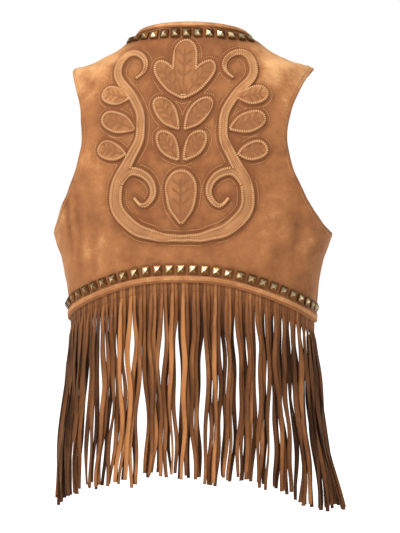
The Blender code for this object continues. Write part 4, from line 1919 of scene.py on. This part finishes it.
@dataclass
class HemStrip:
    """The fringe's backing strip behind the back hem, and how the fringe hangs from it."""

    thickness: float = 0.0015
    gap: float = 0.0003
    above_hem: float = 0.010
    below_hem: float = 0.012
    flare_back: float = 0.010
    flare_left: float = 0.026
    flare_right: float = 0.036
    flare_power: float = 1.3
    sway: float = 0.004
    sway_pitch: float = 0.30
    sway_turns: float = 1.2
    columns: int = 240

    def __post_init__(self) -> None:
        """Works the strip's lines out from the hem."""
        self.share = np.linspace(-1, 1, self.columns + 1)
        angle, z = SIDE_ANGLE * self.share, CUT.hem_z(self.share)
        depth = -(WALL + self.gap + self.thickness / 2)
        self.low = VEST.cloth(angle, z - self.below_hem, depth, Half.BACK)
        self.top = VEST.cloth(angle, z + self.above_hem, depth, Half.BACK)
        self.outward = unit(VEST.normal(angle, z) * np.array([1, 1, 0]))
        self.run = run_lengths(self.low)
        self.length = float(self.run[-1])

    def read(self, values: Array, place: Array) -> Array:
        """Reads values that belong to the strip's columns, at places along it."""
        return np.stack([np.interp(place, self.run, values[:, k]) for k in range(3)], axis=-1)

    def side(self, place: Array) -> Array:
        """How far places are to the wearer's left (1) or right (-1) end."""
        return 2 * place / self.length - 1

    def hang(self, place: Array, t: Array) -> Array:
        """Where the fringe hangs, seen from above.

        Args:
            place: places along the strip.
            t: shares of the way down.

        Returns:
            Points at height 0.
        """
        side = self.side(place)
        reach = np.where(side > 0, self.flare_left, self.flare_right)
        flare = self.flare_back + (reach - self.flare_back) * side**2
        wave = self.sway * np.sin(math.tau * (self.sway_turns * t + place / self.sway_pitch))
        out = flare * t**self.flare_power + wave * t
        hung = self.read(self.low, place) + unit(self.read(self.outward, place)) * out[:, None]
        return hung * np.array([1, 1, 0])

    def frame(self, place: Array, t: Array, step: float = 0.003) -> Places:
        """Where the fringe hangs, and the outward and the lengthwise direction there, all level.

        Args:
            place: places along the strip.
            t: shares of the way down.
            step: half the length that the directions are read over.

        Returns:
            Points at height 0, outward directions and lengthwise directions.
        """
        inside = np.clip(place, step, self.length - step)
        along = unit(self.hang(inside + step, t) - self.hang(inside - step, t))
        outward = np.stack([-along[:, 1], along[:, 0], 0 * t], axis=-1)
        return self.hang(place, t), outward, along


@dataclass(frozen=True)
class FringeTones:
    """How light the fringe is: its strands differ, with painted shade on the inner layers and at the
    sides.
    """

    strands: Span = (0.28, 0.76)
    middle_layer_shade: float = 0.18
    inner_layer_shade: float = 0.54
    # painted shade towards the sides: where it starts, and how deep on the left and on the right
    turned_away: Span = (0.30, 0.72)
    left: float = 0.42
    right: float = 0.30
    root: float = 0.55
    root_own: float = 0.40
    own_at: float = 0.22
    strip: float = 0.05
    slit_shade: float = 0.3
    strand_edge_shade: float = 0.22
    tip: float = 0.10
    mottle: float = 0.12
    mottle_along_strip: float = 137.0
    mottle_turns: float = 1.7

    def behind(self, layer: int) -> float:
        """Painted shade on a layer: how much darker it is than the outer one."""
        return {1: 0.0, 0: self.middle_layer_shade, -1: self.inner_layer_shade}[layer]

    def mixed(self, own: float, share: Array | float) -> Array | float:
        """A tone between the roots' and a strand's own, for a share of its own."""
        return self.root + share * (own - self.root)


@dataclass
class Fringe:
    """A long fringe in three layers, cut in one strip that is sewn in behind the back hem."""

    strip: HemStrip = field(default_factory=HemStrip)
    look: FringeTones = FringeTones()
    count: int = 112
    seed: int = 7
    crowding: float = 0.10
    width: float = 0.0062
    fullness: float = 1.06
    fuller_at_side: float = 0.26
    width_span: Span = (0.84, 1.10)
    thinning: float = 0.85
    end_share: float = 0.7
    root_lap: float = 0.03
    root_half: float = 0.3
    parted_at: float = 0.06
    parted_share: float = 1.08
    widened_at: float = 0.26
    own_wander: float = 0.0011
    own_turns: Span = (0.5, 1.2)
    own_ragged: float = 0.004
    layers: tuple[int, ...] = (0, 1, -1)
    layer_offset: float = 0.0026
    clump_sizes: tuple[int, ...] = (3, 4, 5, 6, 7)
    clump_wander: float = 0.0026
    clump_turns: Span = (0.5, 0.9)
    clump_ragged: float = 0.007
    gathered: Span = (0.15, 0.40)
    pinch: float = 0.18
    pinch_at_side: float = 0.05
    side_span: Span = (0.5, 0.8)
    rings: int = 40
    ripple: float = 0.0013
    ripple_turns: Span = (1.5, 3.0)
    curl: float = 0.0006
    curl_span: Span = (0.3, 1.6)
    twist: float = 0.75
    swing: float = 0.50
    swing_turns: Span = (0.8, 2.0)

    def strands(self) -> list[Strand]:
        """The strands, each in its layer and in the clump that it hangs with."""
        u = np.linspace(-1, 1, self.count + 1)
        stops = self.strip.length / 2 * (1 + u * (1 + self.crowding) - self.crowding * u**3)
        roots, spaces = (stops[:-1] + stops[1:]) / 2, np.diff(stops)
        draw = random.Random(self.seed)
        made: list[Strand] = []
        while len(made) < self.count:
            first = len(made)
            last = min(first + draw.choice(self.clump_sizes), self.count)
            clump = Clump(
                centre=float(np.mean(roots[first:last])),
                gathered=draw.uniform(*self.gathered),
                turns=draw.uniform(*self.clump_turns),
                phase=draw.random(),
                spare=draw.uniform(-self.clump_ragged, self.clump_ragged),
            )
            for k in range(first, last):
                strand = Strand(
                    root=float(roots[k]),
                    space=float(spaces[k]),
                    layer=self.layers[k % len(self.layers)],
                    clump=clump,
                    turns=draw.uniform(*self.own_turns),
                    phase=draw.random(),
                    spare=clump.spare + draw.uniform(-self.own_ragged, self.own_ragged),
                )
                made.append(strand)
        return made

    def side(self, strand: Strand) -> float:
        """How far a strand's root is to the wearer's left (1) or right (-1) end."""
        return float(self.strip.side(np.array(strand.root)))

    def aside(self, strand: Strand) -> float:
        """How far a strand belongs to the sides, from 0 to 1."""
        return float(smooth_step(*self.side_span, np.abs(self.side(strand))))

    def place(self, strand: Strand, t: Array) -> Array:
        """Places along the strip of a strand, at shares t of the way down."""
        clump = strand.clump
        settled = smooth_step(self.parted_at, clump.gathered, t)
        pinch = self.pinch + (self.pinch_at_side - self.pinch) * self.aside(strand)
        wander = self.clump_wander * np.sin(math.tau * (clump.turns * t + clump.phase))
        wander = wander + self.own_wander * np.sin(math.tau * (strand.turns * t + strand.phase))
        place = strand.root + settled * (pinch * (clump.centre - strand.root) + wander)
        return np.clip(place, 0, self.strip.length)

    def tones(self, strands: Sequence[Strand]) -> list[float]:
        """A tone for each strand, with painted shade on the inner layers and at the sides."""
        draw = random.Random(self.seed + 2)
        look = self.look
        made = []
        for strand in strands:
            side = self.side(strand)
            # painted shade at the sides of the fringe, deeper on the wearer's left
            turned_away = float(smooth_step(*look.turned_away, np.abs(side)))
            deeper = look.left if side > 0 else look.right
            made.append(draw.uniform(*look.strands) - look.behind(strand.layer) - deeper * turned_away)
        return made

    def add_strip(self, parts: MeshParts, strands: Sequence[Strand], tones: Sequence[float]) -> None:
        """Adds the backing strip, with a line of painted shade between the strands' roots.

        Args:
            parts: the mesh that is being made.
            strands: the strands.
            tones: their tones.
        """
        strip, look = self.strip, self.look
        stops, shade = [0.0], [look.root]
        for strand, own in zip(strands, tones):
            tone = look.mixed(own, look.root_own)
            shares = (-self.root_half, self.root_half, 0.5)
            stops += [strand.root + share * strand.space for share in shares]
            # painted shade in the slit beside each strand's root
            shade += [tone, tone, tone - look.slit_shade]
        places = np.array(stops)
        deep = unit(strip.read(strip.outward, places)) * strip.thickness / 2
        top, low = strip.read(strip.top, places), strip.read(strip.low, places)
        corners = [top + deep, low + deep, low - deep, top - deep]
        parts.add_tube(np.stack(corners, axis=1), np.array(shade) + look.strip)

    def half_width(self, strand: Strand, t: Array, share: float) -> Array:
        """Half the width of a strand, at shares t of the way down.

        Args:
            strand: the strand.
            t: shares of the way down.
            share: the strand's width as a share of the usual one.

        Returns:
            Half widths: the root's room at the top, and narrower again at the end.
        """
        narrow = strand.space * (1 + (self.parted_share - 1) * np.clip(t / self.parted_at, 0, 1))
        full = self.width * (self.fullness + self.fuller_at_side * self.aside(strand)) * share
        full = full * (1 + (self.end_share - 1) * t**4)
        return (narrow + (full - narrow) * smooth_step(self.parted_at, self.widened_at, t)) / 2

    def add_strand(self, parts: MeshParts, strand: Strand, tone: float, draw: random.Random) -> None:
        """Adds one strand: a thin ribbon, curled across, that twists and waves as it hangs.

        Args:
            parts: the mesh that is being made.
            strand: the strand.
            tone: its tone.
            draw: draws for its twist and waves.
        """
        strip, look = self.strip, self.look
        t = np.concatenate([[-self.root_lap], np.linspace(0, 1, self.rings + 1)])
        low = strip.read(strip.low, np.array([strand.root]))[0]
        share = np.interp(strand.root, strip.run, strip.share)
        usual = low[2] - float(CUT.fringe_end_z(share))
        drop = t * (usual + strand.spare)
        path, out, along = strip.frame(self.place(strand, t), np.maximum(drop / usual, 0))
        settled = smooth_step(self.parted_at, strand.clump.gathered, t)
        rippled = np.sin(math.tau * (draw.uniform(*self.ripple_turns) * t + draw.random()))
        rippled = self.ripple * settled * rippled
        parted = strand.layer * self.layer_offset * np.clip(t / self.parted_at, 0, 1)
        path = path + out * parted[:, None] + along * rippled[:, None]
        path[:, 2] = low[2] - drop
        turned = draw.uniform(-1, 1) * self.twist * t
        swung = np.sin(math.tau * (draw.random() + draw.uniform(*self.swing_turns) * t))
        turned = turned + self.swing * swung * settled
        across = along * np.cos(turned)[:, None] + out * np.sin(turned)[:, None]
        face = np.cross(across, np.array([0.0, 0.0, -1.0]))
        half = self.half_width(strand, t, draw.uniform(*self.width_span))
        deep = strip.thickness / 2 * self.thinning
        curl = self.curl * smooth_step(self.parted_at, self.widened_at, t) * draw.uniform(*self.curl_span)
        loops = [
            path
            + across * (half * point.across)[:, None]
            + face * (deep * point.face + curl * point.curl)[:, None]
            for point in RIBBON
        ]
        # painted shade along the strands' edges
        edge_darkening = np.array([look.strand_edge_shade if abs(point.across) == 1 else 0.0 for point in RIBBON])
        own = look.root_own + (1 - look.root_own) * smooth_step(0.0, look.own_at, t)
        mottle = np.sin(math.tau * (look.mottle_along_strip * strand.root + look.mottle_turns * t))
        shade = look.mixed(tone, own) + look.tip * t + look.mottle * mottle * settled
        parts.add_tube(np.stack(loops, axis=1), shade[:, None] - edge_darkening)

    def build(self, suede: bpy.types.Material) -> bpy.types.Object:
        """Makes the strip and its strands as one piece.

        Args:
            suede: the strands' material.

        Returns:
            The fringe's object.
        """
        strands = self.strands()
        tones = self.tones(strands)
        draw = random.Random(self.seed + 1)
        parts = MeshParts()
        self.add_strip(parts, strands, tones)
        for strand, tone in zip(strands, tones):
            self.add_strand(parts, strand, tone, draw)
        made = parts.build("fringe_strands", suede)
        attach(made, BODY)
        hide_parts("fringe")
        return made


# Studio


@dataclass(frozen=True)
class SoftLight:
    """A square soft light: its direction from the camera's, its elevation, its side and its watts."""

    name: str
    from_camera: float
    elevation: float
    size: float
    power: float


@dataclass(frozen=True)
class Studio:
    """A pale floor, soft lights and the camera at the photograph's angle."""

    azimuth: float = 187.5
    elevation: float = 1.5
    distance: float = 3.0
    frame_height: float = 0.746
    aim_right: float = 0.0095
    aim_z: float = -0.299
    sensor: float = 36.0
    lights: tuple[SoftLight, ...] = (
        SoftLight("key", -26, 52, 1.2, 64),
        SoftLight("fill", 50, 15, 1.6, 8),
        SoftLight("kicker", -62, 6, 0.5, 9),
    )
    light_distance: float = 2.4
    surround: float = 0.42
    floor_z: float = -0.82
    floor_reach: float = 12.0
    floor_colour: str = "F6F6F6"
    floor_glow: float = 0.75

    @staticmethod
    def toward(azimuth: float, elevation: float) -> Vector:
        """The direction from the vest to a place round it and above the level, in degrees."""
        a, e = math.radians(azimuth), math.radians(elevation)
        return Vector((math.sin(a) * math.cos(e), -math.cos(a) * math.cos(e), math.sin(e)))

    @staticmethod
    def put(name: str, data: bpy.types.ID, place: Vector, back: Vector) -> bpy.types.Object:
        """Puts a camera or a light into the scene.

        Args:
            name: its name.
            data: the camera or the light.
            place: where it stands.
            back: the direction that it turns its back to.

        Returns:
            Its object.
        """
        made = bpy.data.objects.new(name, data)
        made.location = place
        made.rotation_euler = (-back).to_track_quat("-Z", "Y").to_euler()
        bpy.context.scene.collection.objects.link(made)
        return made

    def place_camera(self) -> None:
        """Makes the camera. The sensor's width lies along the frame's height."""
        back = self.toward(self.azimuth, self.elevation)
        a = math.radians(self.azimuth)
        right = Vector((math.cos(a), math.sin(a), 0))
        data = bpy.data.cameras.new("camera")
        data.sensor_width = self.sensor
        data.lens = self.sensor * self.distance / self.frame_height
        place = right * self.aim_right + Vector((0, 0, self.aim_z)) + back * self.distance
        bpy.context.scene.camera = self.put("camera", data, place, back)

    def add_light(self, light: SoftLight) -> None:
        """Adds a soft light that faces the vest."""
        back = self.toward(self.azimuth + light.from_camera, light.elevation)
        data = bpy.data.lights.new(light.name, "AREA")
        data.size = light.size
        data.energy = light.power
        self.put(light.name, data, Vector((0, 0, self.aim_z)) + back * self.light_distance, back)

    def light_world(self) -> None:
        """A white surround that lights the vest more softly than it shows."""
        world = bpy.data.worlds.new("studio")
        bpy.context.scene.world = world
        world.use_nodes = True
        tree = world.node_tree
        tree.nodes.clear()
        path = add_node(tree, "ShaderNodeLightPath")
        level = add_node(
            tree,
            "ShaderNodeMapRange",
            {"Value": path.outputs["Is Camera Ray"], "To Min": self.surround, "To Max": 1.0},
        )
        sky = add_node(
            tree, "ShaderNodeBackground", {"Color": (1, 1, 1, 1), "Strength": level.outputs[0]}
        )
        add_node(tree, "ShaderNodeOutputWorld", {"Surface": sky.outputs[0]})

    def lay_floor(self) -> None:
        """Makes the pale floor."""
        material, tree, shader = new_material("Pale studio floor")
        shading = {
            "Base Color": linear(self.floor_colour),
            "Roughness": 0.9,
            "Emission Color": (1, 1, 1, 1),
            "Emission Strength": self.floor_glow,
        }
        set_inputs(tree, shader, shading)
        reach = self.floor_reach
        corners = [(-reach, -reach), (reach, -reach), (reach, reach), (-reach, reach)]
        mesh = bpy.data.meshes.new("floor")
        mesh.from_pydata([(x, y, self.floor_z) for x, y in corners], [], [(0, 1, 2, 3)])
        mesh.materials.append(material)
        floor = bpy.data.objects.new("floor", mesh)
        bpy.context.scene.collection.objects.link(floor)

    def build(self) -> None:
        """Sets the whole studio up."""
        scene = bpy.context.scene
        scene.view_settings.view_transform = "Standard"
        scene.view_settings.look = "None"
        self.place_camera()
        self.light_world()
        self.lay_floor()
        for light in self.lights:
            self.add_light(light)


# Assembly


def back_rows(sewing: Sewing) -> list[Places]:
    """Stitches along the turned armhole edges and the bands of the back.

    Args:
        sewing: the stitches to use.

    Returns:
        The rows' places and directions.
    """
    end_share, count = 0.995, 400
    on_band, above_hem, below_rim = 0.0016, 0.0078, 0.0040
    turned = TurnedEdge()
    rows = []
    for hand in HANDS:
        angle, z = BackPanel.armhole(hand)
        line = VEST.beside(angle, z, -hand * turned.stitch_in)
        rows.append(sewing.row(*line, turned.lift, Half.BACK))
    share = np.linspace(-end_share, end_share, count)
    for z in (CUT.hem_z(share) + above_hem, CUT.rim_z(share) - below_rim):
        rows.append(sewing.row(SIDE_ANGLE * share, z, on_band, Half.BACK))
    return rows


def front_rows(sewing: Sewing, front: FrontPanel) -> list[Places]:
    """Stitches along the armhole, the hem, the open edge and the neckline of one front.

    Args:
        sewing: the stitches to use.
        front: the front.

    Returns:
        The rows' places and directions.
    """
    turned = TurnedEdge()
    angle, z = front.grid()
    underarm = front.underarm_row(z)
    lines = (
        (angle[underarm:, 0], z[underarm:, 0], 1),
        (angle[:, -1], z[:, -1], -1),
        (angle[0], z[0], -1),
    )
    rows = []
    for edge_angle, edge_z, side in lines:
        line = VEST.beside(edge_angle, edge_z, side * front.hand * turned.stitch_in)
        rows.append(sewing.row(*line, turned.lift, Half.FRONT))
    return rows


def report(*pieces: bpy.types.Object) -> None:
    """Logs each finished piece with the number of its faces."""
    for piece in pieces:
        LOG.info("%s: %d faces", piece.name, len(piece.data.polygons))


def main() -> None:
    logging.basicConfig(level=logging.INFO, format="%(message)s")
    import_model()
    suede = NappedSuede().build()
    strands = CutSuede().build()
    brass = AntiqueBrass().build()
    thread = WaxedThread().build()

    ornament = Ornament()
    back = BackPanel()
    back_piece = back.build(suede, ornament)
    report(back_piece)
    LOG.info("back panel, %.3f square metres", back.area)
    hem_band = EdgeBand("hem_band", "hem_band_back").build(CUT.hem_z, CUT.hem_band_top_z, suede)
    neck_band = EdgeBand("neck_band", "neck_band_back").build(CUT.neck_band_low_z, CUT.rim_z, suede)
    report(hem_band, neck_band)
    sewing = Sewing(thread, sewing_tree())
    beads = Sewing(thread, sewing.tree, pitch=0.0030, length=0.0042, width=0.0026, height=0.0014)
    seeds = Sewing(thread, sewing.tree, pitch=0.0029, length=0.0019, width=0.0013, height=0.0009)
    worked = OrnamentSewing(ornament)
    ornament_edging = beads.build("ornament_edging", worked.edging(beads))
    ornament_filling = seeds.build("ornament_filling", worked.filling(seeds) + worked.echo(seeds))
    edge_sewing = sewing.build("edge_sewing", back_rows(sewing))
    report(ornament_edging, ornament_filling, edge_sewing)
    studs = stud_tree()
    hem_row = StudRow("hem_studs", "hem_stud", pitch=0.0161, gap=0.0005)
    hem_studs = hem_row.build(CUT.hem_studs_z, studs, brass)
    # the neck studs get painted highlight on their lower faces
    neck_row = StudRow(
        "neck_studs", "neck_stud", pitch=0.0155, gap=0.0012, free_end=0.023, lower_wear_and_light=0.80
    )
    neck_studs = neck_row.build(CUT.neck_studs_z, studs, brass)
    fringe = Fringe().build(strands)
    report(hem_studs, neck_studs, fringe)
    for hand in HANDS:
        front = FrontPanel(hand)
        piece = front.build(suede)
        front_sewing = sewing.build(front.name + "_sewing", front_rows(sewing, front))
        report(piece, front_sewing)
        LOG.info("%s, %.3f square metres", piece.name, front.area)

    Studio().build()


if __name__ == "__main__":
    main()
